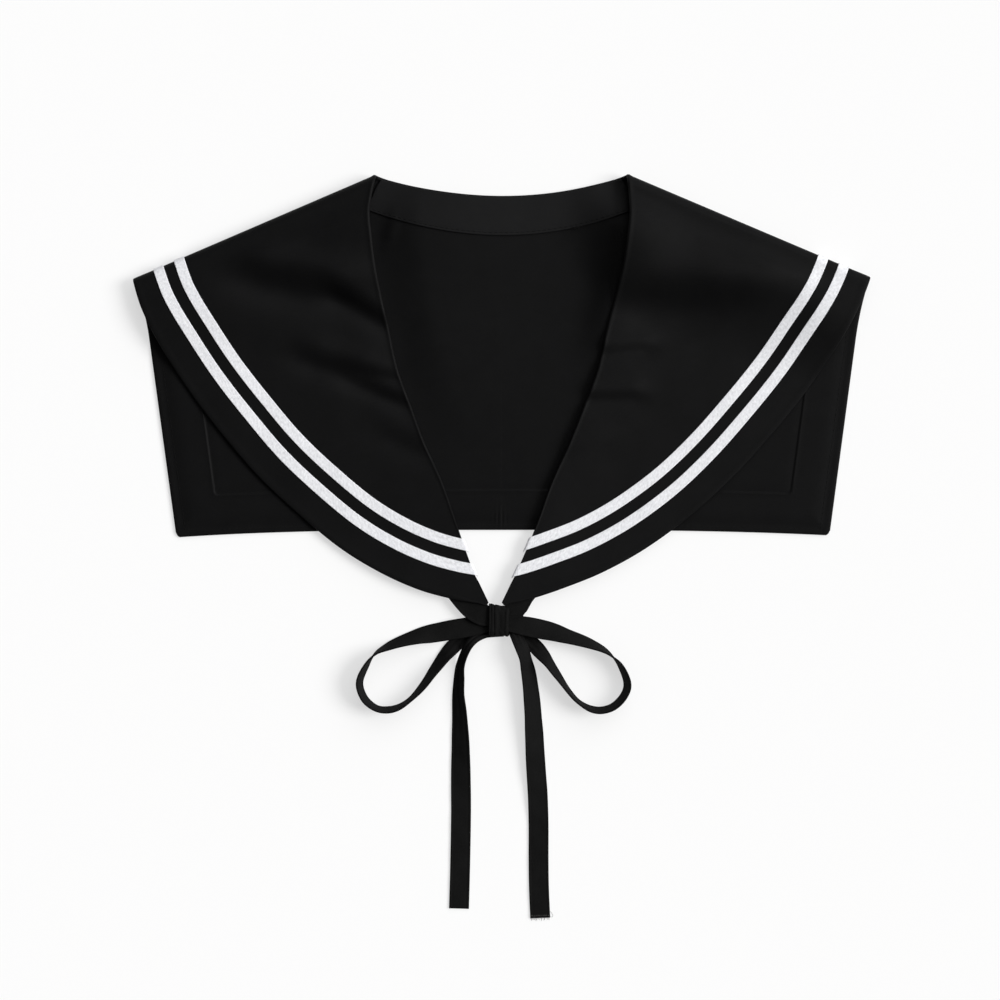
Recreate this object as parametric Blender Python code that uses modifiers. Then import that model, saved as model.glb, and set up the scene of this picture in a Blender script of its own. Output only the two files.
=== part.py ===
"""A black sailor collar with two white tapes and a ribbon tied in a bow, lying flat.

The back flap lies on the surface with its right side down, and the two lapels are folded forward
over it along straight shoulder lines. The tapes are sewn to the right side, so they show on the
lapels and run on round the underside of the flap. Sizes are in millimetres and MM turns them into
metres. +X is the right of the collar seen from above, and +Y points from the bow to the neck. The
origin is on the surface, below the middle of the whole object.
"""

import math

import bmesh
import bpy
from mathutils import Vector

MM = 0.001
QUARTER = math.pi / 2

# Thicknesses, and the clearance between two layers that touch
CLOTH = 1.5
TAPE = 1.0
FACING = 1.0
RIBBON = 1.0
GAP = 0.35
BACK_Z = TAPE + GAP + CLOTH / 2

# Shoulder folds: straight from the neck to the shoulder tip, rolled over a radius that narrows
NECK = (74.7, 222.0)
SHOULDER_TIP = (220.5, 159.4)
ROLL_AT_NECK = 6.0
ROLL_AT_TIP = 4.0
ROLL_COLUMNS = 4

# Back neckline and back flap
NECKLINE_MIDDLE = 210.5
CORNER = (196.2, 6.7)
SIDE_SLOPE = 0.134
SIDE_FLARE = SHOULDER_TIP[0] - CORNER[0] - SIDE_SLOPE * (SHOULDER_TIP[1] - CORNER[1])
FLARE_FROM = 125.0
HEM_MIDDLE = 10.3
CORNER_ROUND = 3.0
SIDE_COLUMNS = 5
HEM_COLUMNS = 6
NECK_OVER_CORNER = 40.0

# Lapels: how high their cloth lies, and how far from the fold it has come down to there
LOW_AT_NECK = 5.6
LOW_AT_TIP = 4.5
FALL_AT_NECK = 120.0
FALL_AT_TIP = 85.0
POINT_RISE = 1.65
POINT_RISE_FROM = 12.0
POINT_RISE_OVER = 46.0
COLUMNS_PER_STATION = 2
ROWS = 12

# One row for each station down a lapel, from the shoulder fold to the point. A lean moves that
# edge to the left on both lapels, and the margin is from the outer edge to the outer tape.
# inner_x, inner_y, inner_lean, outer_x, outer_y, outer_lean, tape_margin
LAPEL = (
    (74.7, 222.0, 0.0, 220.5, 159.4, 0.0, 13.5),
    (77.2, 202.6, 1.0, 214.0, 142.0, 0.8, 14.8),
    (76.0, 186.0, 1.1, 201.5, 119.0, 1.5, 16.3),
    (73.6, 168.0, 1.3, 184.0, 92.3, 2.0, 16.4),
    (69.7, 150.0, 1.8, 163.3, 66.0, 2.6, 16.2),
    (65.2, 131.5, 2.1, 141.6, 41.6, 3.2, 15.5),
    (60.0, 107.8, 2.2, 117.6, 19.5, 3.4, 14.8),
    (52.3, 86.4, 2.3, 91.8, -0.5, 4.8, 14.8),
    (43.8, 64.0, 2.6, 66.8, -15.0, 6.0, 14.8),
    (32.9, 39.5, 2.6, 43.3, -25.0, 7.3, 15.0),
    (23.8, 13.5, 2.7, 25.5, -30.5, 6.0, 15.0),
    (13.3, -13.0, 3.0, 14.2, -33.0, 4.5, 15.0),
    (5.5, -33.2, 3.0, 7.6, -34.2, 3.0, 15.0),
)

# Soft folds across the lapels: valleys have a negative height
# side, start_x, start_y, end_x, end_y, height, spread
FOLDS = (
    (-1, -122.0, 157.0, -69.0, 139.0, -2.2, 9.0),
    (-1, -101.0, 103.0, -57.0, 91.5, -1.2, 7.0),
    (-1, -66.0, 120.0, -62.0, 116.0, 1.2, 10.0),
    (1, 90.0, 149.5, 142.0, 149.5, -2.0, 11.0),
    (1, 62.0, 114.7, 77.0, 120.7, -1.0, 5.0),
    (1, 57.5, 94.3, 68.3, 91.3, -1.0, 5.0),
    (1, 81.0, 177.0, 111.5, 168.0, 1.0, 9.0),
)

# Tapes
TAPE_WIDTH = 7.0
TAPE_SPACE = 6.8
FLAP_MARGIN = 12.8
TAPE_LAPEL_COLUMNS = 20
TAPE_ROLL_COLUMNS = 8
TAPE_SIDE_COLUMNS = 6
TAPE_HEM_COLUMNS = 5

# Neck facing
FACING_INSET = 0.8
FACING_TOP_X = 72.5
FACING_LOW_X = 81.0
FACING_LOW_MIDDLE = 186.7
FACING_LOW_RISE = 14.2
FACING_LOW_RISE_AT = 77.0
FACING_COLUMNS = 16
FACING_ROWS = 3

# Ribbon rows: x and y of its middle line, tilt about that line in degrees, width as gathered, and
# how high its lowest edge is clear of the surface. At tilt 0 it lies flat, at 90 it stands on edge.
BOW_LOOP_LEFT = (
    (-2.5, -45.0, 0, 9.5, 4.4),
    (-7.9, -45.4, 2, 10.2, 4.2),
    (-14.5, -46.6, 10, 11.5, 2.8),
    (-22.3, -48.2, 11, 12.0, 2.2),
    (-30.0, -49.5, 12, 12.0, 1.4),
    (-36.7, -50.8, 18, 12.0, 0.5),
    (-42.7, -51.9, 27, 12.0, 0.0),
    (-49.9, -53.3, 44, 12.0, 0.0),
    (-60.7, -56.6, 61.5, 12.0, 0.0),
    (-67.9, -59.4, 71.5, 12.0, 0.0),
    (-75.1, -63.5, 86, 12.0, 0.0),
    (-80.5, -70.4, 101, 12.0, 0.0),
    (-84.7, -80.9, 106, 12.0, 0.0),
    (-82.0, -90.2, 105, 12.0, 0.0),
    (-75.1, -96.1, 103, 12.0, 0.0),
    (-67.9, -97.3, 104, 12.0, 0.0),
    (-60.7, -95.3, 102, 12.0, 0.0),
    (-53.5, -90.2, 100, 12.0, 0.0),
    (-46.3, -82.1, 109, 12.0, 0.0),
    (-39.1, -72.0, 118, 12.0, 0.0),
    (-33.1, -64.1, 138, 10.5, 0.0),
    (-26.5, -57.5, 168, 9.0, 0.0),
    (-19.0, -52.3, 175, 8.0, 0.2),
    (-12.0, -48.6, 180, 7.0, 0.9),
    (-7.4, -46.1, 180, 6.2, 1.7),
    (-2.5, -45.9, 180, 6.4, 1.7),
)
BOW_LOOP_RIGHT = (
    (-1.0, -45.2, 0, 9.2, 5.75),
    (4.7, -45.7, 0, 9.8, 5.75),
    (13.7, -47.0, 0, 11.5, 5.75),
    (24.5, -49.2, 15, 12.0, 3.4),
    (31.7, -50.9, 31, 12.0, 1.6),
    (38.9, -53.1, 46, 12.0, 0.3),
    (46.1, -55.3, 55.5, 12.0, 0.0),
    (53.3, -57.7, 65, 12.0, 0.0),
    (60.5, -60.9, 75.5, 12.0, 0.0),
    (65.9, -64.7, 88, 12.0, 0.0),
    (71.3, -70.7, 101, 12.0, 0.0),
    (75.4, -80.9, 108, 12.0, 0.0),
    (73.9, -88.1, 106, 12.0, 0.0),
    (67.7, -94.9, 106, 12.0, 0.0),
    (60.5, -97.5, 104.5, 12.0, 0.0),
    (53.3, -96.5, 103, 12.0, 0.0),
    (46.1, -92.3, 98, 12.0, 0.0),
    (40.7, -86.3, 100, 12.0, 0.0),
    (33.8, -76.7, 108.5, 12.0, 0.0),
    (28.4, -68.8, 118, 12.0, 0.0),
    (24.6, -64.1, 142, 11.0, 0.0),
    (19.7, -58.7, 170, 9.0, 0.0),
    (13.7, -53.6, 174, 8.0, 0.2),
    (8.0, -49.0, 180, 7.0, 1.1),
    (3.8, -46.3, 180, 6.0, 1.7),
    (-1.0, -45.9, 180, 6.4, 1.7),
)
TIE_TAIL_LEFT = (
    (-3.0, -47.0, 0, 5.5, 3.05),
    (-7.6, -47.8, 2, 5.5, 3.05),
    (-12.0, -50.9, 10, 6.0, 2.2),
    (-17.3, -56.5, 45, 7.0, 2.9),
    (-21.3, -62.5, 62, 9.0, 2.4),
    (-24.3, -71.0, 63, 11.0, 0.4),
    (-25.3, -79.0, 62, 12.0, 0.0),
    (-25.7, -88.0, 55, 12.0, 0.0),
    (-25.1, -98.0, 46, 12.0, 0.0),
    (-24.6, -109.0, 36, 12.0, 0.0),
    (-24.3, -122.0, 25, 12.0, 0.0),
    (-24.2, -140.0, 10, 12.0, 0.0),
    (-24.1, -160.0, 0, 12.0, 0.0),
    (-24.6, -190.0, 0, 12.0, 0.0),
    (-25.3, -216.8, 0, 12.0, 0.0),
)
TIE_TAIL_RIGHT = (
    (-0.3, -47.0, 0, 5.5, 3.05),
    (4.6, -47.5, 0, 5.0, 2.95),
    (8.2, -51.6, 20, 7.0, 3.1),
    (10.6, -56.5, 35, 8.5, 3.4),
    (12.7, -61.0, 45, 10.5, 3.7),
    (14.5, -66.5, 53, 11.6, 1.9),
    (16.1, -73.7, 47, 12.0, 0.0),
    (17.2, -80.9, 42, 12.0, 0.0),
    (18.1, -88.1, 38.5, 12.0, 0.0),
    (18.7, -95.3, 35, 12.0, 0.0),
    (19.3, -103.7, 31, 12.0, 0.0),
    (19.8, -112.7, 24, 12.0, 0.0),
    (20.7, -130.7, 15, 12.0, 0.0),
    (21.9, -148.7, 7, 12.0, 0.0),
    (22.4, -166.7, 0, 12.0, 0.0),
    (22.4, -184.7, 0, 12.0, 0.0),
    (22.6, -202.7, 0, 12.0, 0.0),
    (23.4, -222.45, 0, 12.0, 0.0),
)
TIE_LEAD_LEFT = (
    (-36.0, -9.0, 0, 15.0, 3.7),
    (-30.0, -17.5, 0, 15.0, 4.0),
    (-23.0, -27.1, 0, 15.0, 4.4),
    (-15.8, -36.0, 0, 13.0, 4.7),
    (-10.2, -41.1, 0, 10.2, 5.7),
    (-6.5, -42.5, 0, 9.2, 5.75),
    (-2.5, -42.7, 0, 9.2, 5.75),
)
TIE_LEAD_RIGHT = (
    (27.0, -13.0, 0, 15.0, 3.7),
    (21.0, -19.5, 0, 15.0, 4.0),
    (14.5, -27.4, 0, 14.0, 4.3),
    (10.3, -35.9, 0, 12.0, 4.3),
    (7.4, -41.4, 0, 9.2, 4.3),
    (3.0, -42.7, 0, 8.8, 4.4),
    (-0.9, -42.6, 0, 9.2, 4.4),
)
STEPS_PER_ROW = 2

# Knot: an oval ring along X round all the ribbons, a little fuller in the middle
KNOT_X = -1.7
KNOT_Y = -43.75
KNOT_LENGTH = 11.5
KNOT_WIDTH = 17.7
KNOT_HEIGHT = 8.6
KNOT_WALL = 1.1
KNOT_SQUARENESS = 5.0
KNOT_TAPER = 0.02
KNOT_COLUMNS = 6
KNOT_SIDES = 32


def ease(share):
    """0 to 1 with level ends."""
    share = min(max(share, 0.0), 1.0)
    return share * share * (3 - 2 * share)


def mix(first, last, share):
    return first + (last - first) * share


def smooth_row(table, place):
    """The table's row at a fractional place, on a Catmull-Rom curve through its rows."""
    at = min(max(int(place), 0), len(table) - 2)
    share = place - at
    row, after = table[at], table[at + 1]
    before = table[at - 1] if at > 0 else row
    later = table[at + 2] if at + 2 < len(table) else after
    found = []
    for a, b, c, d in zip(before, row, after, later):
        bend = (2 * a - 5 * b + 4 * c - d) * share**2 + (3 * b - a - 3 * c + d) * share**3
        found.append(b + 0.5 * ((c - a) * share + bend))
    return found


def solve(function, low, high):
    """Where a function that changes sign once between low and high is zero."""
    rising = function(high) > 0
    for _ in range(50):
        middle = (low + high) / 2
        if (function(middle) > 0) == rising:
            high = middle
        else:
            low = middle
    return (low + high) / 2


def cut(points, inside):
    """The stretch of a line of points that is inside, with its ends moved onto the border."""
    kept = [index for index, point in enumerate(points) if inside(point)]
    first, last = kept[0], kept[-1]
    stretch = points[first : last + 1]
    if first > 0:
        stretch.insert(0, border(points[first], points[first - 1], inside))
    if last + 1 < len(points):
        stretch.append(border(points[last], points[last + 1], inside))
    return stretch


def border(within, beyond, inside):
    share, step = 0.0, 0.5
    for _ in range(30):
        if inside(within.lerp(beyond, share + step)):
            share += step
        step /= 2
    return within.lerp(beyond, share)


def resample(points, count):
    """The same line with count + 1 evenly spaced points."""
    lengths = [0.0]
    for first, last in zip(points, points[1:]):
        lengths.append(lengths[-1] + (last - first).length)
    found = []
    at = 0
    for step in range(count + 1):
        wanted = lengths[-1] * step / count
        while at < len(points) - 2 and lengths[at + 1] < wanted:
            at += 1
        share = (wanted - lengths[at]) / (lengths[at + 1] - lengths[at])
        found.append(points[at].lerp(points[at + 1], min(share, 1.0)))
    return found


def neckline_y(x):
    return mix(NECKLINE_MIDDLE, NECK[1], (x / NECK[0]) ** 2)


def side_x(y):
    """The flap's side edge: straight up from the corner, then flared to the shoulder tip."""
    flare = max(0.0, (y - FLARE_FROM) / (SHOULDER_TIP[1] - FLARE_FROM))
    return CORNER[0] + SIDE_SLOPE * (y - CORNER[1]) + SIDE_FLARE * flare**2


def hem_y(x):
    """The flap's bottom edge, bowed a little."""
    return mix(HEM_MIDDLE, CORNER[1], abs(x / CORNER[0]) ** 3)


def fold_height(side, point):
    """How far the soft folds lift or lower a lapel at a point seen from above."""
    height = 0.0
    for fold_side, start_x, start_y, end_x, end_y, depth, spread in FOLDS:
        if fold_side == side:
            start = Vector((start_x, start_y))
            line = Vector((end_x, end_y)) - start
            share = (point - start).dot(line) / line.length_squared
            away = point - start - line * min(max(share, 0.0), 1.0)
            height += depth * math.exp(-away.length_squared / (2 * spread**2))
    return height


class Shoulder:
    """One shoulder: a point of the cloth is t along the fold from the neck and q in from the fold
    as seen from above, or w across it as measured on the cloth, positive on the lapel."""

    def __init__(self, side):
        self.side = side
        self.neck = Vector((side * NECK[0], NECK[1]))
        line = Vector((side * SHOULDER_TIP[0], SHOULDER_TIP[1])) - self.neck
        self.length = line.length
        self.along = line.normalized()
        self.inward = Vector((self.along.y * side, -self.along.x * side))

    def split(self, point):
        offset = point - self.neck
        return offset.dot(self.along), offset.dot(self.inward)

    def share(self, t):
        return min(max(t / self.length, 0.0), 1.0)

    def radius(self, t):
        return mix(ROLL_AT_NECK, ROLL_AT_TIP, self.share(t))

    def station_edges(self, station):
        """The inner and the outer edge of the lapel, and its tape margin."""
        row = smooth_row(LAPEL, station)
        inner = Vector((self.side * row[0] - row[2], row[1]))
        outer = Vector((self.side * row[3] - row[5], row[4]))
        return inner, outer, row[6]

    def inner_x(self, y):
        """The lapel's inner edge at a height on the photograph's Y."""
        station = solve(lambda place: self.station_edges(place)[0].y - y, 0.0, len(LAPEL) - 1.0)
        return self.station_edges(station)[0].x

    def lapel_height(self, t, q, point):
        low = mix(LOW_AT_NECK, LOW_AT_TIP, self.share(t))
        fall = mix(FALL_AT_NECK, FALL_AT_TIP, self.share(t))
        r = self.radius(t)
        height = mix(BACK_Z + 2 * r, low, ease((q - r) / fall))
        rise = POINT_RISE * ease((POINT_RISE_FROM - point.y) / POINT_RISE_OVER)
        return height + rise + fold_height(self.side, point)

    def surface(self, point, layer):
        """The cloth's middle surface above a point, on the lapel with layer 1 or the back with -1."""
        t, q = self.split(point)
        r = self.radius(t)
        if q < r:
            height = BACK_Z + r + layer * math.sqrt(max(r**2 - (r - q) ** 2, 0.0))
        elif layer > 0:
            height = self.lapel_height(t, q, point)
        else:
            height = BACK_Z
        return Vector((point.x, point.y, height))

    def pattern(self, point, layer):
        """A point seen from above, as t and w on the cloth."""
        t, q = self.split(point)
        r = self.radius(t)
        w = r * math.acos(min(1 - q / r, 1.0)) if q < r else q - r + r * QUARTER
        return Vector((t, layer * w))

    def seen(self, spot):
        """A spot on the cloth, as the point seen from above."""
        r = self.radius(spot.x)
        turn = abs(spot.y) / r
        q = r * (1 - math.cos(turn)) if turn < QUARTER else r + abs(spot.y) - r * QUARTER
        return self.neck + self.along * spot.x + self.inward * q

    def place(self, spot):
        """A spot on the cloth, as a point of its middle surface."""
        r = self.radius(spot.x)
        turn = abs(spot.y) / r
        point = self.seen(spot)
        if turn < QUARTER:
            height = BACK_Z + r + math.copysign(r * math.sin(turn), spot.y)
            return Vector((point.x, point.y, height))
        return self.surface(point, math.copysign(1, spot.y))

    def lifted(self, spot, lift):
        """A point lifted off the cloth's right side."""
        reach = 0.2
        along = self.place(spot + Vector((reach, 0))) - self.place(spot - Vector((reach, 0)))
        across = self.place(spot + Vector((0, reach))) - self.place(spot - Vector((0, reach)))
        return self.place(spot) - along.cross(across).normalized() * self.side * lift

    def inside_back(self, point, lift):
        """A point lifted off the wrong side of the back, which curls up into the fold."""
        t, q = self.split(point)
        r = self.radius(t)
        if q >= r:
            return Vector((point.x, point.y, BACK_Z + lift))
        turn = math.asin((r - q) / r)
        point = point + self.inward * lift * math.sin(turn)
        return Vector((point.x, point.y, BACK_Z + r - (r - lift) * math.cos(turn)))


SHOULDERS = {side: Shoulder(side) for side in (-1, 1)}


def sheet(name, columns, thickness, material):
    """A grid laid on columns of points and thickened evenly to both sides. A grid whose last
    column is its first closes into a ring."""
    wide, high = len(columns) - 1, len(columns[0]) - 1
    shape = bmesh.new()
    bmesh.ops.create_grid(shape, x_segments=wide, y_segments=high, size=0.5)
    for vertex in shape.verts:
        column = columns[round((vertex.co.x + 0.5) * wide)]
        vertex.co = column[round((vertex.co.y + 0.5) * high)] * MM
    bmesh.ops.remove_doubles(shape, verts=shape.verts, dist=0.001 * MM)
    mesh = bpy.data.meshes.new(name)
    shape.to_mesh(mesh)
    shape.free()
    mesh.materials.append(material)
    mesh.shade_smooth()
    piece = bpy.data.objects.new(name, mesh)
    solid = piece.modifiers.new("thickness", "SOLIDIFY")
    solid.thickness = thickness * MM
    solid.offset = 0
    return piece


def lapel_columns(shoulder):
    """The inner and the outer end of each column of a lapel, from its point to the fold."""
    steps = (len(LAPEL) - 1) * COLUMNS_PER_STATION
    ends = []
    for step in range(steps - 1):
        ends.append(shoulder.station_edges((steps - step) / COLUMNS_PER_STATION)[:2])
    for step in range(ROLL_COLUMNS, -1, -1):
        depth = 1 - math.cos(QUARTER * step / ROLL_COLUMNS)
        ends.append([edge_at_depth(shoulder, edge, depth) for edge in (0, 1)])
    return [(inner, outer, 1) for inner, outer in ends]


def edge_at_depth(shoulder, edge, depth):
    """Where a lapel's inner or outer edge is this share of the roll's radius in from the fold."""

    def beyond(station):
        t, q = shoulder.split(shoulder.station_edges(station)[edge])
        return q - depth * shoulder.radius(t)

    return shoulder.station_edges(solve(beyond, 0.0, 1.0) if depth else 0.0)[edge]


def flap_columns(shoulder):
    """The neckline end and the outer end of each column of half the back, from fold to middle."""
    side = shoulder.side

    def on_neckline(x):
        return Vector((side * x, neckline_y(x)))

    def on_side(y):
        return Vector((side * side_x(y), y))

    def depth_of(point):
        t, q = shoulder.split(point)
        return q / shoulder.radius(t)

    ends = []
    for step in range(1, ROLL_COLUMNS + 1):
        depth = 1 - math.cos(QUARTER * step / ROLL_COLUMNS)
        neck_x = solve(lambda x: depth_of(on_neckline(x)) - depth, NECK[0] / 2, NECK[0])
        side_y = solve(lambda y: depth_of(on_side(y)) - depth, CORNER[1], SHOULDER_TIP[1])
        ends.append((on_neckline(neck_x), on_side(side_y)))
    for step in range(1, SIDE_COLUMNS + 1):
        share = step / SIDE_COLUMNS
        outer = on_side(mix(side_y, CORNER[1] + CORNER_ROUND, share))
        ends.append((on_neckline(mix(neck_x, NECK_OVER_CORNER, share)), outer))
    inset = CORNER_ROUND * (1 - math.sqrt(0.5))
    ends.append((
        on_neckline(NECK_OVER_CORNER - 1),
        Vector((side * (CORNER[0] - inset), CORNER[1] + inset)),
    ))
    for step in range(HEM_COLUMNS + 1):
        share = step / HEM_COLUMNS
        x = mix(CORNER[0] - CORNER_ROUND, 0.0, share)
        outer = Vector((side * x, hem_y(x)))
        ends.append((on_neckline(mix(NECK_OVER_CORNER - 2, 0.0, share)), outer))
    return [(inner, outer, -1) for inner, outer in ends]


def make_collar(material):
    """The folded cloth: left lapel, left fold, back flap, right fold, right lapel."""
    columns = []
    for side in (-1, 1):
        shoulder = SHOULDERS[side]
        half = []
        for inner, outer, layer in lapel_columns(shoulder) + flap_columns(shoulder):
            line = [inner.lerp(outer, row / ROWS) for row in range(ROWS + 1)]
            half.append([shoulder.surface(point, layer) for point in line])
        columns += half if side < 0 else half[-2::-1]
    return sheet("collar", columns, CLOTH, material)


def tape_line(shoulder, offset):
    """Points on the tape's middle surface along one half of the collar, from the lapel's inner
    edge to the middle of the hem, this far in from where the outer tape begins."""
    side = shoulder.side
    edge = []
    steps = 160
    for step in range(steps, 0, -1):
        station = (len(LAPEL) - 1) * (step / steps) ** 2
        point, margin = shoulder.station_edges(station)[1:]
        edge.append((shoulder.pattern(point, 1), margin))
    for step in range(steps + 1):
        y = SHOULDER_TIP[1] - (SHOULDER_TIP[1] - CORNER[1]) * (step / steps) ** 2
        margin = mix(LAPEL[0][6], FLAP_MARGIN, ease((SHOULDER_TIP[1] - y) / 30))
        edge.append((shoulder.pattern(Vector((side * side_x(y), y)), -1), margin))
    inset = []
    for index in range(1, len(edge) - 1):
        spot, margin = edge[index]
        course = (edge[index + 1][0] - edge[index - 1][0]).normalized()
        inset.append(spot + Vector((course.y, -course.x)) * (margin + offset))

    def on_cloth(spot):
        point = shoulder.seen(spot)
        if spot.y < 0:
            return point.y > hem_y(point.x) + FLAP_MARGIN + offset
        if point.y < LAPEL[-1][1]:
            return False
        return side * point.x > side * shoulder.inner_x(point.y)

    def roll_edge(spot):
        return shoulder.radius(spot.x) * QUARTER

    whole = cut(inset, on_cloth)
    stretches = (
        (cut(whole, lambda spot: spot.y > roll_edge(spot)), TAPE_LAPEL_COLUMNS),
        (cut(whole, lambda spot: abs(spot.y) <= roll_edge(spot)), TAPE_ROLL_COLUMNS),
        (cut(whole, lambda spot: spot.y < -roll_edge(spot)), TAPE_SIDE_COLUMNS),
    )
    lift = CLOTH / 2 + GAP + TAPE / 2
    line = []
    for stretch, count in stretches:
        spots = resample(stretch, count)
        line += [shoulder.lifted(spot, lift) for spot in spots[bool(line) :]]
    corner_x = line[-1].x
    for step in range(1, TAPE_HEM_COLUMNS + 1):
        x = mix(corner_x, 0.0, step / TAPE_HEM_COLUMNS)
        line.append(Vector((x, hem_y(x) + FLAP_MARGIN + offset, BACK_Z - lift)))
    return line


def make_tape(name, offset, material):
    """A tape from one lapel's inner edge round the flap to the other's."""
    halves = {}
    for side, shoulder in SHOULDERS.items():
        edges = [tape_line(shoulder, offset), tape_line(shoulder, offset + TAPE_WIDTH)]
        halves[side] = [list(column) for column in zip(*edges)]
    columns = halves[-1] + halves[1][-2::-1]
    return sheet(name, columns, TAPE, material)


def make_facing(material):
    """The strip along the inside of the back neckline."""
    columns = []
    for step in range(FACING_COLUMNS + 1):
        across = 2 * step / FACING_COLUMNS - 1
        top_x = across * FACING_TOP_X
        low_x = across * FACING_LOW_X
        top = Vector((top_x, neckline_y(top_x) - FACING_INSET))
        rise = FACING_LOW_RISE * (low_x / FACING_LOW_RISE_AT) ** 2
        low = Vector((low_x, FACING_LOW_MIDDLE + rise))
        shoulder = SHOULDERS[1 if across > 0 else -1]
        line = [top.lerp(low, row / FACING_ROWS) for row in range(FACING_ROWS + 1)]
        lift = CLOTH / 2 + GAP + FACING / 2
        columns.append([shoulder.inside_back(point, lift) for point in line])
    return sheet("neck_facing", columns, FACING, material)


def make_ribbon(name, rows, near_side, lift, material):
    """A ribbon along its rows. Near_side is 1 when the edge that tilts is on the left of the way
    along the rows and -1 on the right, and lift is 1 when that edge tilts up and -1 down."""
    columns = []
    steps = (len(rows) - 1) * STEPS_PER_ROW
    for step in range(steps + 1):
        place = step / STEPS_PER_ROW
        x, y, tilt, width, clear = smooth_row(rows, place)
        before = smooth_row(rows, max(place - 0.1, 0.0))
        after = smooth_row(rows, min(place + 0.1, len(rows) - 1.0))
        course = Vector((after[0] - before[0], after[1] - before[1])).normalized()
        flat = Vector((-course.y, course.x, 0)) * near_side
        angle = math.radians(tilt)
        across = flat * math.cos(angle) + Vector((0, 0, lift * math.sin(angle)))
        half = width / 2
        rise = half * abs(math.sin(angle)) + RIBBON / 2 * abs(math.cos(angle))
        middle = Vector((x, y, max(clear, 0.0) + rise))
        columns.append([middle - across * half, middle, middle + across * half])
    return sheet(name, columns, RIBBON, material)


def make_knot(material):
    """The ribbon wrap round the middle of the bow."""
    columns = []
    for side in range(KNOT_SIDES + 1):
        turn = 2 * math.pi * (side % KNOT_SIDES) / KNOT_SIDES
        power = 2 / KNOT_SQUARENESS
        out = math.copysign(abs(math.cos(turn)) ** power, math.cos(turn))
        up = math.copysign(abs(math.sin(turn)) ** power, math.sin(turn))
        column = []
        for step in range(KNOT_COLUMNS + 1):
            across = 2 * step / KNOT_COLUMNS - 1
            full = 1 - KNOT_TAPER * across**2
            y = KNOT_Y + out * (KNOT_WIDTH - KNOT_WALL) / 2 * full
            z = KNOT_HEIGHT / 2 + up * (KNOT_HEIGHT - KNOT_WALL) / 2
            column.append(Vector((KNOT_X + across * KNOT_LENGTH / 2, y, z)))
        columns.append(column)
    return sheet("bow_knot", columns, KNOT_WALL, material)


def make_material(name, colour, roughness):
    material = bpy.data.materials.new(name)
    material.use_nodes = True
    shader = material.node_tree.nodes["Principled BSDF"]
    shader.inputs["Base Color"].default_value = (*colour, 1)
    shader.inputs["Roughness"].default_value = roughness
    shader.inputs["Metallic"].default_value = 0
    material.diffuse_color = (*colour, 1)
    return material


def main():
    for old in list(bpy.data.objects):
        bpy.data.objects.remove(old)
    twill = make_material("black twill", (0.010, 0.010, 0.011), 0.9)
    lining = make_material("black facing", (0.012, 0.012, 0.013), 0.9)
    woven = make_material("white tape", (0.80, 0.81, 0.82), 0.8)
    ribbon = make_material("black ribbon", (0.009, 0.009, 0.010), 0.8)
    pieces = [
        make_collar(twill),
        make_facing(lining),
        make_tape("outer_tape", 0.0, woven),
        make_tape("inner_tape", TAPE_WIDTH + TAPE_SPACE, woven),
        make_ribbon("tie_lead_left", TIE_LEAD_LEFT, 1, 1, ribbon),
        make_ribbon("tie_lead_right", TIE_LEAD_RIGHT, 1, 1, ribbon),
        make_ribbon("bow_loop_left", BOW_LOOP_LEFT, -1, -1, ribbon),
        make_ribbon("bow_loop_right", BOW_LOOP_RIGHT, 1, -1, ribbon),
        make_ribbon("tie_tail_left", TIE_TAIL_LEFT, 1, 1, ribbon),
        make_ribbon("tie_tail_right", TIE_TAIL_RIGHT, -1, 1, ribbon),
        make_knot(ribbon),
    ]
    collection = bpy.data.collections.new("sailor collar")
    bpy.context.scene.collection.children.link(collection)
    for piece in pieces:
        collection.objects.link(piece)


main()
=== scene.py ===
"""How the black sailor collar looks: folded twill with two white woven tapes and a ribbon bow.

Sizes are in millimetres and MM turns them into metres. The collar lies on the plane z = 0, +X is its
right as seen from above and +Y points from the bow to the neck. Each piece of cloth is a grid of
points on its middle surface, a row of them for each column across the cloth, made thick on both
sides of that surface with a round edge.
"""

import math

import bpy
import numpy as np
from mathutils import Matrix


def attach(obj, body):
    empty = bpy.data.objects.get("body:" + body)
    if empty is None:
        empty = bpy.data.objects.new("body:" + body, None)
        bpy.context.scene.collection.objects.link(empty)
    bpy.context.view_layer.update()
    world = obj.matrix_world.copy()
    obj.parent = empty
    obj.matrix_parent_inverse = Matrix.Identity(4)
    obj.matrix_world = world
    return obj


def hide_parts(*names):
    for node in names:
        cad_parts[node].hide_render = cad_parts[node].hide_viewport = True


MM = 0.001
QUARTER = math.pi / 2

# Here a name with BEGINS has where a change begins and over how far it goes on, which is below 0
# when it goes the other way.

# Thicknesses as they look, and the height of the back flap's middle surface
CLOTH = 1.5
TAPE = 0.6
FACING = 0.7
RIBBON = 0.9
NEAR = 0.05
BACK_Z = NEAR + TAPE + NEAR + CLOTH / 2 + 0.1

# Shoulder folds: straight from the neck to the shoulder tip, rolled over a radius that narrows.
# Where left and right differ a little, -1 is the left side and 1 the right. The roll, and a
# lapel's height, fall and share of hump, are each at the neck and at the tip.
NECK = {-1: (74.7, 222.2), 1: (74.9, 222.6)}
SHOULDER_TIP = {-1: (220.2, 159.8), 1: (220.8, 160.9)}
ROLL = (5.2, 3.8)
ROLL_COLUMNS = 12
ROLL_CLEAR = 1.0

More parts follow.
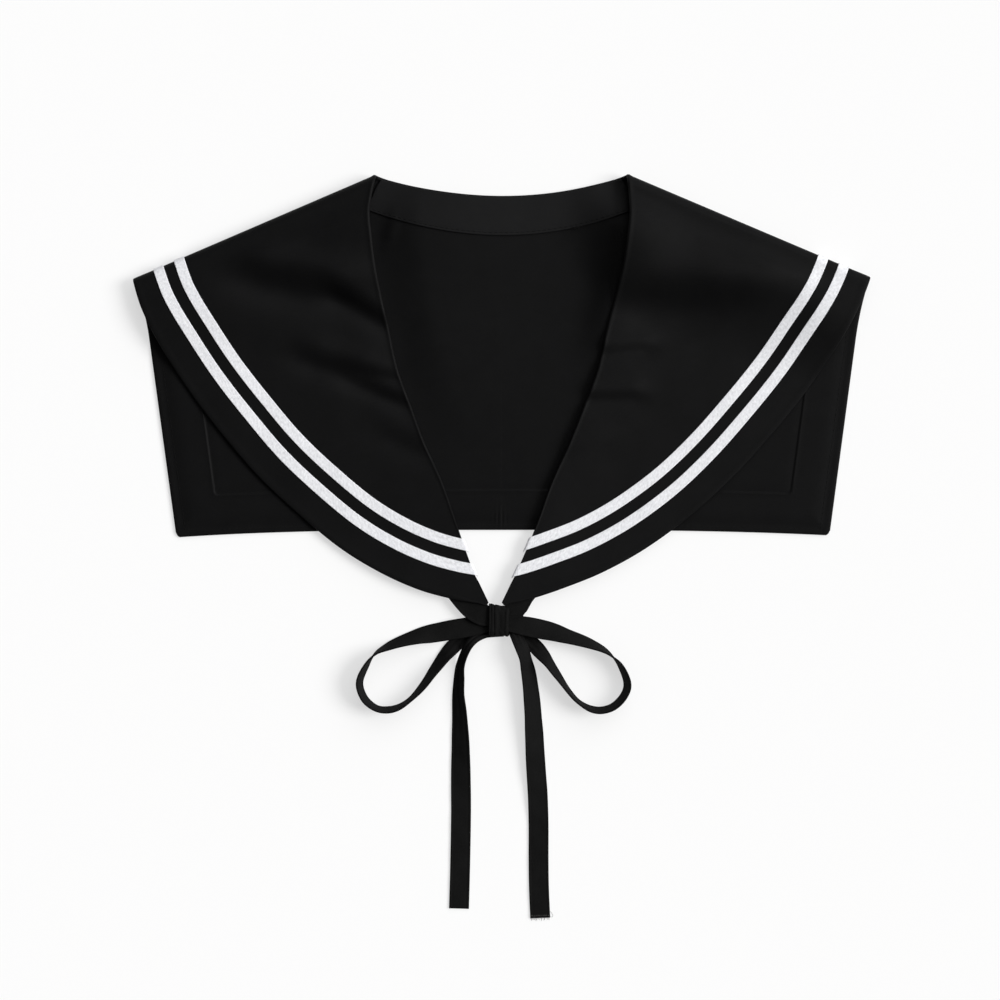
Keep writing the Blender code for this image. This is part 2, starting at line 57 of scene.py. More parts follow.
# Back neckline and back flap
NECKLINE_MIDDLE = 210.5
CORNER = {-1: (194.8, 5.8), 1: (196.9, 7.0)}
SIDE_SLOPE = {-1: 0.137, 1: 0.134}
FLARE_FROM = 125.0
HEM_MIDDLE = 10.3
CORNER_ROUND = 3.0
CORNER_COLUMNS = 6
SIDE_COLUMNS = 46
HEM_COLUMNS = 64
MIDDLE_COLUMNS = 20
MIDDLE_REACH = 9.0
NECK_OVER_CORNER = (40.0, 38.0)
DROOP = 0.6
DROOP_BEGINS = (12.0, -9.0)
BACK_SETTLES_OVER = 12.0

# Lapels: how high their cloth lies, and how far from the fold it has come down to there
LOW = (4.6, 3.9)
FALL_FROM = 24.0
FALL = (66.0, 46.0)
HUMP = 3.0
HUMP_SHARES = (1.0, 0.35)
HUMP_AT = 30.0
HUMP_SPREAD = 19.0
SOFT_OVER = 14.0
UNEVENNESS = 0.16
POINT_RISE = 2.6
POINT_RISE_BEGINS = (12.0, -46.0)
COLUMNS_PER_STATION = 14

# Rows across the cloth: how far each is from the outer edge and from the inner edge, and how many
# more lie evenly between. A column too short for them has them closer together.
OUTER_ROWS = (
    *(0.0, 0.9, 1.7, 2.6, 3.6, 4.6, 5.3, 6.0, 6.7, 7.6, 9.5, 12.5, 16.0, 19.5, 22.5),
    *(24.6, 25.3, 25.8, 26.2, 26.6, 27.0, 27.5, 28.4),
)
INNER_ROWS = (0.0, 0.9, 1.6, 2.4, 3.4, 4.8, 6.8)
EVEN_ROWS = 36
EDGE_ROWS_SHARE = 0.7
LEAST_SLANT = 0.4

# Relief along the edges: the height of each ridge, or groove below 0, its place and its spread.
# The flap has a band turned in along its edge, and is thinner inside it.
INNER_RELIEF = (0.3, 1.5, 1.1)
OUTER_RELIEF = (0.12, 2.4, 1.6)
BAND_RELIEF = ((0.12, 25.8, 0.6), (-0.1, 27.3, 0.5))
BAND_BEGINS = (26.8, -0.7)
BAND_OVER_HEM = 23.7 / 26.2
BAND_STEP = 0.24
FLAP_THIN = 0.14

# The lapels' inner edges stand up a little beside the neck
EDGE_LIFT_ALONG = {-1: 0.0, 1: 1.5}
EDGE_LIFT_BEGINS = (-20.0, 40.0)
EDGE_LIFT = 2.2
EDGE_LIFT_AT = 178.0
EDGE_LIFT_SPREAD = 38.0
EDGE_LIFT_OVER = 46.0

# The back bulges a little from the left lapel to the middle and rises towards the right one, each
# more beside the neck: how much, over how far, and from where on Y it begins and it grows
BULGE = (2.4, 4.0)
BULGE_OVER = 30.0
BULGE_BEGINS = (40.0, 90.0)
BULGE_LEVEL_BEGINS = (50.0, -100.0)
RISE = (5.0, 7.5)
RISE_OVER = (10.5, 20.0)
RISE_BEGINS = (100.0, 60.0)
NECK_GROWTH_BEGINS = (150.0, 45.0)
BACK_FOLDS_REACH = 28.0

# The small folds of the back: x and y of their middles, and how far they spread each way
PINCH = 1.1
PINCH_AT = (-65.5, 190.0)
PINCH_LEAN = 0.12
PINCH_SPREAD = (3.0, 9.0)
PUCKER = 0.2
PUCKER_AT = (-0.6, 17.5)
PUCKER_SPREAD = (4.0, 5.0)
PUCKER_PITCH = 2.6

# Round edges, and how much of the way to the next points they may take up
EDGE_RADIUS = 0.85
EDGE_STEPS = 8
EDGE_ROOM = 0.8

# One row for each station down a lapel, from the shoulder fold to the point. A lean moves that
# edge to the left on both lapels, and the margin is from the outer edge to the outer tape.
# inner_x, inner_y, inner_lean, outer_x, outer_y, outer_lean, tape_margin
LAPEL = (
    (74.7, 222, 0, 220.5, 159.4, 0, 13.5),
    (77.2, 202.6, 1, 214, 142, 0.8, 14.8),
    (76, 186, 1.1, 201.5, 119, 1.5, 16.3),
    (73.6, 168, 1.3, 184, 92.3, 2, 16.4),
    (69.7, 150, 1.8, 163.3, 66, 2.6, 16.2),
    (65.2, 131.5, 2.1, 141.6, 41.6, 3.2, 15.5),
    (60, 107.8, 2.2, 117.6, 19.5, 3.4, 14.8),
    (52.3, 86.4, 2.3, 91.8, -0.5, 4.8, 14.8),
    (43.8, 64, 2.6, 66.8, -15, 6, 14.8),
    (32.9, 39.5, 2.6, 43.3, -25, 7.3, 15),
    (23.8, 13.5, 2.7, 25.5, -30.5, 6, 15),
    (13.6, -13, 3.6, 15, -32.8, 4.5, 15),
    (9.2, -22, 3.6, 9.8, -33.6, 4, 15),
    (3.9, -33, 3.6, 5.2, -34.8, 3.6, 15),
)

# Folds across the lapels, each along a line: a wave is high on the left of the way from start to
# end and low on the right, most so at its spread, and a ridge is high on the line itself.
# side, start_x, start_y, end_x, end_y, wave, ridge, spread
FOLDS = (
    (-1, -141, 164, -97, 155, 3, 0, 9.5),
    (-1, -96, 153, -70.5, 137, 1.6, 0, 5),
    (-1, -108, 113, -84, 107, 1.9, 0, 6.5),
    (-1, -82, 106.5, -64, 103, 0.6, 0, 3.4),
    (-1, -86, 100, -58, 88.5, 1.2, 0, 4.4),
    (-1, -76, 121, -68, 116, 0, 0.7, 8),
    (-1, -60, 66, -46, 60, 0.7, 0, 6),
    (1, 92, 153, 160, 154, 2.7, 0, 12),
    (1, 84, 138, 150, 138, 0.9, 0, 14),
    (1, 62, 136, 72, 134.5, 0, 0.6, 5),
    (1, 61, 118.5, 84, 120.5, 1.1, 0, 4.2),
    (1, 54, 91, 78, 91.5, 1.1, 0, 4.2),
    (1, 41, 58, 58, 62, 0.5, 0, 6),
)
WAVE_PEAK = math.exp(0.5)
FOLD_TAPERS_OVER = 1.6

# Tapes, the rows across one, and where its two lines of stitches are
TAPE_WIDTH = 6.5
TAPE_SPACE = 6.85
FLAP_MARGIN = 12.8
FLAP_MARGIN_OVER = 30.0
FOLD_STATIONS = 1.6
TAPE_MARGIN_AT_FOLD = {-1: 13.7, 1: 14.4}
TAPE_MARGIN_MORE = {-1: 1.5, 1: 0.6}
TAPE_MARGIN_BEGINS = (2.5, 4.0)
TAPE_ROWS = (0.0, 0.35, 0.8, 1.3, 2.3, 3.25, 4.2, 5.2, 5.7, 6.15, 6.5)
TAPE_STITCH_ROWS = (2, 8)
TAPE_DENT = 0.1
TAPE_DENT_SPREAD = 0.4
TAPE_CURL_TURN = 1.9
TAPE_STEPS = 240
TAPE_LAPEL_COLUMNS = 190
TAPE_ROLL_COLUMNS = 24
TAPE_SIDE_COLUMNS = 46
TAPE_HEM_COLUMNS = 50
TAPE_CURL_COLUMNS = 5

# Neck facing
FACING_INSET = 0.8
FACING_TOP_X = 72.5
FACING_LOW_X = 81.0
FACING_LOW_MIDDLE = 186.7
FACING_LOW_RISE = 14.2
FACING_LOW_RISE_AT = 77.0
FACING_WIDTH = 24.0
FACING_CLEAR = 0.35
FACING_COLUMNS = 120
FACING_ROWS = (0.0, 0.05, 0.12, 0.2, 0.3, 0.4, 0.5, 0.6, 0.7, 0.8, 0.88, 0.93, 0.96, 1.0)
FACING_SEAM = 0.93
FACING_DENT = (0.12, 0.0, 0.7)

# Ribbon rows: x and y of its middle line, tilt about that line in degrees, width as gathered, and
# how high its lowest edge is clear of the surface. At tilt 0 it lies flat, at 90 it stands on edge.
# A row without the last ones is RIBBON_WIDTH wide, and 0 clear.
BOW_LOOP_LEFT = (
    (-2.5, -45, 0, 9.5, 4.4),
    (-7.9, -45.4, 2, 10.2, 4.2),
    (-14.5, -46.6, 10, 11.5, 2.8),
    (-22.3, -48.2, 11, 12, 2.2),
    (-30, -49.5, 12, 12, 1.4),
    (-36.7, -50.8, 18, 12, 0.5),
    (-42.7, -51.9, 27),
    (-49.9, -53.3, 44),
    (-60.7, -56.6, 61.5),
    (-67.9, -59.4, 71.5),
    (-75.1, -63.5, 86),
    (-80.5, -70.4, 101),
    (-84.7, -80.9, 106),
    (-82, -90.2, 105),
    (-75.1, -96.1, 103),
    (-67.9, -97.3, 104),
    (-60.7, -95.3, 102),
    (-53.5, -90.2, 100),
    (-46.3, -82.1, 109),
    (-39.1, -72, 118),
    (-33.1, -64.1, 138, 10.5),
    (-26.5, -57.5, 171, 9),
    (-19, -52.3, 175, 8, 0.2),
    (-12, -48.6, 180, 7, 0.9),
    (-7.4, -46.1, 180, 6.2, 1.7),
    (-2.5, -45.9, 180, 6.4, 1.7),
)
BOW_LOOP_RIGHT = (
    (-1, -45.2, 0, 9.2, 5.75),
    (4.7, -45.7, 0, 9.8, 5.75),
    (13.7, -47, 0, 11.5, 5.75),
    (24.5, -49.2, 15, 12, 3.4),
    (31.7, -50.9, 31, 12, 1.6),
    (38.9, -53.1, 46, 12, 0.3),
    (46.1, -55.3, 55.5),
    (53.3, -57.7, 65),
    (60.5, -60.9, 75.5),
    (65.9, -64.7, 88),
    (71.3, -70.7, 101),
    (75.4, -80.9, 108),
    (73.9, -88.1, 106),
    (67.7, -94.9, 106),
    (60.5, -97.5, 104.5),
    (53.3, -96.5, 103),
    (46.1, -92.3, 98),
    (40.7, -86.3, 100),
    (33.8, -76.7, 108.5),
    (28.4, -68.8, 118),
    (24.6, -64.1, 142, 9.8),
    (19.7, -58.7, 170, 8.8),
    (13.7, -53.6, 174, 8, 0.2),
    (8, -49, 180, 7, 1.1),
    (3.8, -46.3, 180, 6, 1.7),
    (-1, -45.9, 180, 6.4, 1.7),
)
TIE_TAIL_LEFT = (
    (1.5, -50.8, 0, 5, 2.2),
    (-4, -51, 1, 5.2, 2.4),
    (-10, -51.6, 4, 5.6, 2.4),
    (-15.5, -54.2, 24, 6, 3),
    (-19.6, -58.6, 42, 6.6, 3.4),
    (-22.6, -64.6, 50, 7.3, 2.4),
    (-24.7, -71.6, 50, 8, 0.3),
    (-25.3, -79, 45, 8.6),
    (-25.7, -88, 40, 9),
    (-25.1, -98, 34, 10.1),
    (-24.6, -109, 27, 11),
    (-24.3, -122, 19, 11.6),
    (-24.2, -140, 8),
    (-24.1, -160, 0),
    (-24.6, -190, 0),
    (-25.3, -216.8, 0),
)
TIE_TAIL_RIGHT = (
    (-0.3, -47, 0, 5.5, 3.05),
    (4.6, -47.5, 0, 5, 2.95),
    (8.2, -51.6, 20, 7, 3.1),
    (10.6, -56.5, 35, 8.5, 3.4),
    (12.7, -61, 45, 10.5, 3.7),
    (14.5, -66.5, 53, 11.6, 1.9),
    (16.1, -73.7, 47),
    (17.2, -80.9, 42),
    (18.1, -88.1, 38.5),
    (18.7, -95.3, 35),
    (19.3, -103.7, 31),
    (19.8, -112.7, 24),
    (20.7, -130.7, 15),
    (21.9, -148.7, 7),
    (22.4, -166.7, 0),
    (22.4, -184.7, 0),
    (22.6, -202.7, 0),
    (23.4, -222.45, 0),
)
TIE_LEAD_LEFT = (
    (-37, -9.4, 0, 15, 3),
    (-31, -18, 0, 15, 3.3),
    (-24.2, -27.7, 0, 15, 3.9),
    (-17.2, -36.2, 0, 14.2, 4.7),
    (-11.2, -40.2, 0, 13.4, 5.7),
    (-6.5, -41.4, 0, 11.6, 5.75),
    (-2.5, -42, 0, 10.4, 5.75),
)
TIE_LEAD_RIGHT = (
    (27, -13, 0, 15, 3),
    (20.5, -19.5, 0, 15, 3.3),
    (13.7, -27.4, 0, 14, 3.9),
    (9, -35.3, 0, 14, 4.3),
    (6.9, -40.6, 0, 10.6, 4.3),
    (3, -42.2, 0, 9.6, 4.4),
    (-0.9, -42.4, 0, 9.6, 4.4),
)
RIBBON_WIDTH = 12.0
RIBBON_SPACE = 1.3
STEPS_PER_ROW = 14
RIBBON_SHARES = (0, 0.02, 0.05, 0.08, 0.11, 0.15, 0.2, 0.27, 0.35, 0.42)
PLEAT = 0.075
PLEATS = 2.5
PLEAT_WANDER = 0.9
PLEAT_WANDER_RATE = 0.11
RIPPLE = 0.07
RIPPLE_RATES = (0.35, 5.0)
RIBBON_RELIEF = ((0.14, 0.75, 0.5), (-0.1, 1.6, 0.35))

# Knot: an oval ring along X round all the ribbons
KNOT_X = -1.4
KNOT_Y = -43.9
KNOT_LENGTH = 11.7
KNOT_WIDTH = 18.6
KNOT_HEIGHT = 8.8
KNOT_WALL = 1.1
KNOT_SQUARENESS = 4.2
KNOT_SKEW = 1.2
KNOT_CLEAR = 0.35
KNOT_SIDES = 150
KNOT_ROWS = 56
KNOT_TWIST = 0.35
KNOT_END_DROP = 0.4
# Where each pleat is across the knot, how high it is and how wide, and how far they all sway
KNOT_PLEATS = (
    (-0.84, -0.3, 0.06),
    (-0.46, -0.42, 0.055),
    (-0.3, 0.16, 0.1),
    (0.1, -0.2, 0.2),
    (0.8, 0.34, 0.11),
)
KNOT_PLEAT_SWAY = 0.04
# Its crumples: height, rates round the knot and across it, and start
KNOT_CRUMPLES = ((0.16, 3, 4, 0), (0.1, 7, -9, 1))

# The bit of thread that holds the facing down at its lower edge
THREAD_TACK = (
    (42.2, 190.2, 4.1),
    (43.4, 191.8, 4.3),
    (44.2, 190.6, 4.2),
    (45.6, 192.2, 4.4),
    (46.2, 190.9, 4.2),
    (47.4, 192.6, 4.4),
    (48.6, 191.9, 4.2),
)
TACK_RADIUS = 0.2

# Topstitching of the flap, from its sides and from its hem
SIDE_SEAM = 6.0
HEM_SEAM = 3.2
SEAM_BELOW_TIP = 12.0
SEAM_SUNK = 0.1
SEAM_SIDE_POINTS = 90
SEAM_HEM_POINTS = 120

# Stitches: length, gap and radius, and how high a stitch is along itself, in radii
FLAP_STITCH = (2.2, 0.9, 0.16)
TAPE_STITCH = (2.1, 0.55, 0.17)
FACING_STITCH = (2.4, 0.8, 0.16)
STITCH_SHARES = (0.0, 0.18, 0.5, 0.82, 1.0)
STITCH_HEIGHTS = (-1.0, 0.15, 0.55, 0.15, -1.0)
THREAD_SIDES = 6
THREAD_END = 0.45
THREAD_LOWEST = 0.12

# The right tail's end: frayed threads, bars of thread across it, and one long loose thread with
# its steps past the end, to the left and up
FRAY_THREADS = 22
FRAY_OUT = 5.6
FRAY_REACH = (0.6, 2.0)
FRAY_BEND = 0.6
FRAY_MOVED = 0.3
FRAY_SAG = 0.3
FRAY_RADIUS = 0.07
BAR_PLACES = (-4.9, 5.0, 1.4)
BAR_FROM_END = 1.6
BAR_MOVED = 0.2
BAR_TILT = 0.3
BAR_LIFT = 0.62
BAR_REACH = 0.45
BAR_BULGE = 0.08
BAR_RADIUS = 0.1
LOOSE_RADIUS = 0.08
LOOSE_THREAD = (
    (-4, 5.6, -0.3),
    (-3.2, 6.6, -0.2),
    (-1.6, 7.6, -0.4),
    (-0.4, 7.2, -0.5),
    (-0.6, 6.2, -0.2),
    (-1.2, 5.4, 0.3),
)

# Light: the azimuth and elevation of each, how bright and how wide it is, and its colour. Then
# how much of the floor's white is its own.
WORLD = 0.16
KEY = (2.0, 38.0, 3.2, 30.0, (1.0, 0.995, 0.985))
TOP = (60.0, 42.0, 1.4, 66.0, (0.985, 0.99, 1.0))
FLOOR_WHITE = 0.36
FLOOR_GLOW = 0.59
FLOOR_REACH = 12000.0

# Camera: straight above, the photograph is this wide on the surface and centred here
PICTURE_WIDTH = 600.0
PICTURE_CENTRE = (-0.72, 28.3)
LENS = 120.0
SENSOR = 36.0

# Cloths: dark and light colour, pitch and slope of the ribs, depth of the weave, how much of the
# mottle is cloudy, roughness, specular level and sheen
UV_UNIT = 100.0
BLACK_TWILL = ((0.0016, 0.0016, 0.0017), (0.0032, 0.0032, 0.0034), 0.55, 62, 0.08, 0.4, 0.6, 0.085, 0.0)
WHITE_TAPE = ((0.62, 0.625, 0.65), (0.87, 0.875, 0.90), 1.0, 28, 0.14, 0.2, 0.8, 0.2, 0.1)
BLACK_RIBBON = ((0.0044, 0.0044, 0.0044), (0.0088, 0.0088, 0.0088), 0.5, 45, 0.09, 0.35, 0.8, 0.03, 0.0)
BLACK_FACING = ((0.0042, 0.0042, 0.0044), (0.0062, 0.0062, 0.0065), 0.5, 20, 0.04, 0.5, 0.6, 0.1, 0.0)
RIBS_PER_YARN = 1.6
CLOUD_SIZE = 14.0
YARN_SHARE = 0.35
TWIST_SCALE = 4000.0
THREAD_SHADE = 0.75

# The width the tie leads were cut to
LEAD_CUT = 15.0

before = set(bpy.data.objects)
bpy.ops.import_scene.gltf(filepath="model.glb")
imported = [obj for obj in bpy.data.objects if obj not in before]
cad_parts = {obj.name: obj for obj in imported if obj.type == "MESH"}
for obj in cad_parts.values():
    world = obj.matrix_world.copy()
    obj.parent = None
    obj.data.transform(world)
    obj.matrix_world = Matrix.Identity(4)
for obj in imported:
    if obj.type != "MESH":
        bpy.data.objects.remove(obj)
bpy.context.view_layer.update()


def ease(share):
    """0 to 1 with level ends."""
    share = np.clip(share, 0.0, 1.0)
    return share * share * (3 - 2 * share)


def step_up(place, start_and_reach):
    """0 up to the start and 1 from the reach beyond it, with level ends."""
    start, reach = start_and_reach
    return ease((place - start) / reach)


def mix(first, last, share):
    return first + (last - first) * share


def unit(vector):
    return vector / np.linalg.norm(vector, axis=-1, keepdims=True)


def joined(*parts):
    """Coordinates side by side, as points."""
    return np.stack(parts, axis=-1)


def raised(point, height):
    """Points seen from above, with their heights."""
    return np.concatenate([point, height[..., None]], axis=-1)


def bell(distance, spread):
    return np.exp(-((distance / spread) ** 2))


def relief(distance, *shapes):
    """The height of these ridges and grooves at a distance across them."""
    return sum(height * bell(distance - place, spread) for height, place, spread in shapes)


def smooth_rows(table, places):
    """The table's rows at fractional places, on Catmull-Rom curves through its rows."""
    table = np.array(table, float)
    places = np.asarray(places, float)
    at = np.clip(places.astype(int), 0, len(table) - 2)
    share = (places - at)[..., None]
    row, after = table[at], table[at + 1]
    before = np.where((at > 0)[..., None], table[at - 1], row)
    beyond = np.minimum(at + 2, len(table) - 1)
    later = np.where((at + 2 < len(table))[..., None], table[beyond], after)
    bend = (2 * before - 5 * row + 4 * after - later) * share**2
    bend += (3 * row - before - 3 * after + later) * share**3
    return row + 0.5 * ((after - before) * share + bend)


def solve(function, low, high):
    """Where a function that changes sign once between low and high is zero."""
    rising = function(high) > 0
    for _ in range(50):
        middle = (low + high) / 2
        if (function(middle) > 0) == rising:
            high = middle
        else:
            low = middle
    return (low + high) / 2


def cut(points, inside):
    """The stretch of a line of points that is inside, with its ends moved onto the border."""
    kept = np.flatnonzero(inside(points))
    first, last = kept[0], kept[-1]
    stretch = list(points[first : last + 1])
    if first > 0:
        stretch.insert(0, border(points[first], points[first - 1], inside))
    if last + 1 < len(points):
        stretch.append(border(points[last], points[last + 1], inside))
    return np.array(stretch)


def border(within, beyond, inside):
    share, step = 0.0, 0.5
    for _ in range(30):
        if inside(mix(within, beyond, share + step)):
            share += step
        step /= 2
    return mix(within, beyond, share)


def lengths_along(points):
    steps = np.linalg.norm(np.diff(points, axis=0), axis=1)
    return np.concatenate([[0.0], np.cumsum(steps)])


def at_lengths(values, lengths, wanted):
    """A line's points or normals at the wanted lengths along it."""
    return joined(*(np.interp(wanted, lengths, axis) for axis in values.T))


def resample(points, count):
    """The same line with count + 1 evenly spaced points."""
    lengths = lengths_along(points)
    return at_lengths(points, lengths, np.linspace(0, lengths[-1], count + 1))


def neckline_y(side, out):
    """The back neckline, this far out from the middle."""
    return mix(NECKLINE_MIDDLE, NECK[side][1], (out / NECK[side][0]) ** 2)


def side_out(side, y):
    """How far out the flap's side edge is: straight up from the corner, then flared to the tip."""
    corner, tip = CORNER[side], SHOULDER_TIP[side]
    flare = tip[0] - corner[0] - SIDE_SLOPE[side] * (tip[1] - corner[1])
    share = np.maximum(0.0, (y - FLARE_FROM) / (tip[1] - FLARE_FROM))
    return corner[0] + SIDE_SLOPE[side] * (y - corner[1]) + flare * share**2


def hem_y(side, out):
    """The flap's bottom edge, bowed a little."""
    return mix(HEM_MIDDLE, CORNER[side][1], np.abs(out / CORNER[side][0]) ** 3)


def flap_edge_distance(side, point, hem_scale=1.0):
    """How far a point of the flap is from its side and bottom edges, whichever is nearer."""
    out, y = side * point[..., 0], point[..., 1]
    from_side = (side_out(side, y) - out) / math.hypot(1, SIDE_SLOPE[side])
    return np.minimum(from_side, (y - hem_y(side, out)) / hem_scale)


def fold_height(side, point):
    """How far the folds lift or lower a lapel at a point seen from above."""
    height = np.zeros(point.shape[:-1])
    for fold_side, start_x, start_y, end_x, end_y, wave, ridge, spread in FOLDS:
        if fold_side == side:
            start = np.array((start_x, start_y))
            line = np.array((end_x, end_y)) - start
            length = np.linalg.norm(line)
            line = line / length
            along = (point - start) @ line
            across = (point - start) @ np.array((-line[1], line[0])) / spread
            past = np.maximum(np.maximum(-along, along - length), 0) / (FOLD_TAPERS_OVER * spread)
            height += (wave * WAVE_PEAK * across + ridge) * np.exp(-(across**2 + past**2) / 2)
    return height


def back_fold_height(side, inner_x, point):
    """How far the back is lifted beside a lapel, by the pinch and by the puckers above the middle
    of the hem."""
    x, y = point[..., 0], point[..., 1]
    from_lapel = side * (inner_x - x)
    growth = step_up(y, NECK_GROWTH_BEGINS)
    beside = mix(*BULGE, growth) * step_up(y, BULGE_BEGINS) * step_up(x, BULGE_LEVEL_BEGINS)
    if side < 0:
        beside = beside * ease(from_lapel / BULGE_OVER)
    else:
        beside += mix(*RISE, growth) * step_up(y, RISE_BEGINS) * bell(from_lapel, mix(*RISE_OVER, growth))
    out, up = x - PINCH_AT[0], y - PINCH_AT[1]
    pinch = PINCH * bell(out - PINCH_LEAN * up, PINCH_SPREAD[0]) * bell(up, PINCH_SPREAD[1])
    out, up = x - PUCKER_AT[0], y - PUCKER_AT[1]
    pucker = PUCKER * (0.5 + 0.5 * np.cos(2 * math.pi * out / PUCKER_PITCH))
    return beside + pinch + pucker * bell(out, PUCKER_SPREAD[0]) * bell(up, PUCKER_SPREAD[1])


def undulation(point):
    """The slight unevenness of cloth that has lain folded."""
    x, y = point[..., 0], point[..., 1]
    waves = np.sin(0.071 * x + 0.043 * y + 0.6) * np.sin(0.052 * y - 0.031 * x + 1.9)
    waves = waves + 0.5 * np.sin(0.147 * x - 0.083 * y + 2.4) * np.sin(0.119 * y + 0.062 * x)
    return UNEVENNESS * waves


class Shoulder:
    """One shoulder: a point of the cloth is t along the fold from the neck and q in from the fold
    as seen from above, or w across it as measured on the cloth, positive on the lapel."""

    def __init__(self, side):
        self.side = side
        self.neck = np.array((side * NECK[side][0], NECK[side][1]))
        line = np.array((side * SHOULDER_TIP[side][0], SHOULDER_TIP[side][1])) - self.neck
        self.length = np.linalg.norm(line)
        self.along = line / self.length
        self.inward = np.array((self.along[1] * side, -self.along[0] * side))
        self.inner_line = self.station_edges(np.linspace(len(LAPEL) - 1, 0, 400))[0]

    def split(self, point):
        offset = point - self.neck
        return offset @ self.along, offset @ self.inward

    def share(self, t):
        return np.clip(t / self.length, 0.0, 1.0)

    def radius(self, t):
        return mix(*ROLL, self.share(t))

    def station_edges(self, station):
        """The inner and the outer edge of the lapel, and its tape margin."""
        station = np.asarray(station, float)
        row = smooth_rows(LAPEL, station)
        inner = joined(self.side * row[..., 0] - row[..., 2], row[..., 1])
        outer = joined(self.side * row[..., 3] - row[..., 5], row[..., 4])
        near_fold = np.clip(1 - station / FOLD_STATIONS, 0, 1)[..., None]
        neck = np.array((self.side * LAPEL[0][0], LAPEL[0][1]))
        tip = np.array((self.side * LAPEL[0][3], LAPEL[0][4]))
        inner = inner + near_fold * (self.neck - neck)
        outer = outer + near_fold * (self.neck + self.along * self.length - tip)
        more = TAPE_MARGIN_MORE[self.side] * step_up(station, TAPE_MARGIN_BEGINS)
        more = more + near_fold[..., 0] * (TAPE_MARGIN_AT_FOLD[self.side] - LAPEL[0][6])
        return inner, outer, row[..., 6] + more

    def inner_x(self, y):
        """The lapel's inner edge at a height on the photograph's Y."""
        return np.interp(y, self.inner_line[:, 1], self.inner_line[:, 0])

    def lapel_height(self, t, q, point):
        x, y = point[..., 0], point[..., 1]
        share, r = self.share(t), self.radius(t)
        height = mix(BACK_Z + 2 * r, mix(*LOW, share), ease((q - FALL_FROM) / mix(*FALL, share)))
        rise = POINT_RISE * step_up(y, POINT_RISE_BEGINS)
        hump = HUMP * mix(*HUMP_SHARES, share) * bell(q - HUMP_AT, HUMP_SPREAD)
        lift = EDGE_LIFT * bell(y - EDGE_LIFT_AT, EDGE_LIFT_SPREAD)
        lift = lift + EDGE_LIFT_ALONG[self.side] * step_up(y, EDGE_LIFT_BEGINS)
        hump = hump + lift * ease(1 - self.side * (x - self.inner_x(y)) / EDGE_LIFT_OVER)
        soft = ease((q - r) / SOFT_OVER)
        return height + rise + soft * (hump + fold_height(self.side, point) + undulation(point))

    def surface(self, point, layer):
        """The cloth's middle surface above a point, on the lapel with layer 1 or the back with -1."""
        t, q = self.split(point)
        r = self.radius(t)
        roll = BACK_Z + r + layer * np.sqrt(np.maximum(r**2 - (r - q) ** 2, 0.0))
        droop = DROOP * step_up(flap_edge_distance(self.side, point), DROOP_BEGINS)
        back = BACK_Z - droop * ease((q - r) / BACK_SETTLES_OVER) + self.back_folds(point, q, r)
        flat = np.where(layer > 0, self.lapel_height(t, q, point), back)
        return raised(point, np.where(q < r, roll, flat))

    def back_folds(self, point, q, r):
        folds = back_fold_height(self.side, self.inner_x(point[..., 1]), point)
        return folds * ease((q - r) / BACK_FOLDS_REACH)

    def cloth_distance(self, q, r):
        """How far along the cloth a point seen q in from the fold is from the fold's outermost line."""
        turn = np.arccos(np.clip(1 - q / r, -1.0, 1.0))
        return np.where(q < r, r * turn, q - r + r * QUARTER)

    def pattern(self, point, layer):
        """A point seen from above, as t and w on the cloth."""
        t, q = self.split(point)
        return joined(t, layer * self.cloth_distance(q, self.radius(t)))

    def unfolded(self, point, layer):
        """Where a point seen from above would be with the lapels opened out flat."""
        t, q = self.split(point)
        w = self.cloth_distance(q, self.radius(t))[..., None]
        return self.neck + t[..., None] * self.along - layer * w * self.inward

    def seen(self, spot):
        """A spot on the cloth, as the point seen from above."""
        t, w = spot[..., 0], np.abs(spot[..., 1])
        r = self.radius(t)
        turn = np.minimum(w / r, QUARTER)
        q = np.where(w / r < QUARTER, r * (1 - np.cos(turn)), r + w - r * QUARTER)
        return self.neck + t[..., None] * self.along + q[..., None] * self.inward

    def place(self, spot):
        """A spot on the cloth, as a point of its middle surface."""
        t, w = spot[..., 0], spot[..., 1]
        r = self.radius(t)
        turn = np.clip(w / r, -QUARTER, QUARTER)
        point = self.seen(spot)
        flat = np.where(w > 0, self.surface(point, 1)[..., 2], self.surface(point, -1)[..., 2])
        return raised(point, np.where(np.abs(w) < r * QUARTER, BACK_Z + r + r * np.sin(turn), flat))

    def lifted(self, spot, lift):
        """A point lifted off the cloth's right side."""
        reach = 0.2
        along = self.place(spot + (reach, 0)) - self.place(spot - (reach, 0))
        across = self.place(spot + (0, reach)) - self.place(spot - (0, reach))
        return self.place(spot) - unit(np.cross(along, across)) * self.side * lift

    def inside_back(self, point, lift):
        """A point lifted off the wrong side of the back, which curls up into the fold."""
        t, q = self.split(point)
        r = self.radius(t)
        turn = np.arcsin(np.clip((r - q) / r, 0, 1))
        moved = point + (lift * np.sin(turn))[..., None] * self.inward
        flat = BACK_Z + lift + self.back_folds(point, q, r)
        return raised(moved, np.where(q < r, BACK_Z + r - (r - lift) * np.cos(turn), flat))


SHOULDERS = {side: Shoulder(side) for side in (-1, 1)}


def grid_normals(grid):
    """Unit normals of a grid of points."""
    return unit(np.cross(np.gradient(grid, axis=0), np.gradient(grid, axis=1)))


def loop_of(columns, rows):
    """The indices round the border of a grid, as (column, row)."""
    loop = [(column, 0) for column in range(columns)]
    loop += [(columns - 1, row) for row in range(1, rows)]
    loop += [(column, rows - 1) for column in range(columns - 2, -1, -1)]
    loop += [(0, row) for row in range(rows - 2, 0, -1)]
    return np.array(loop)


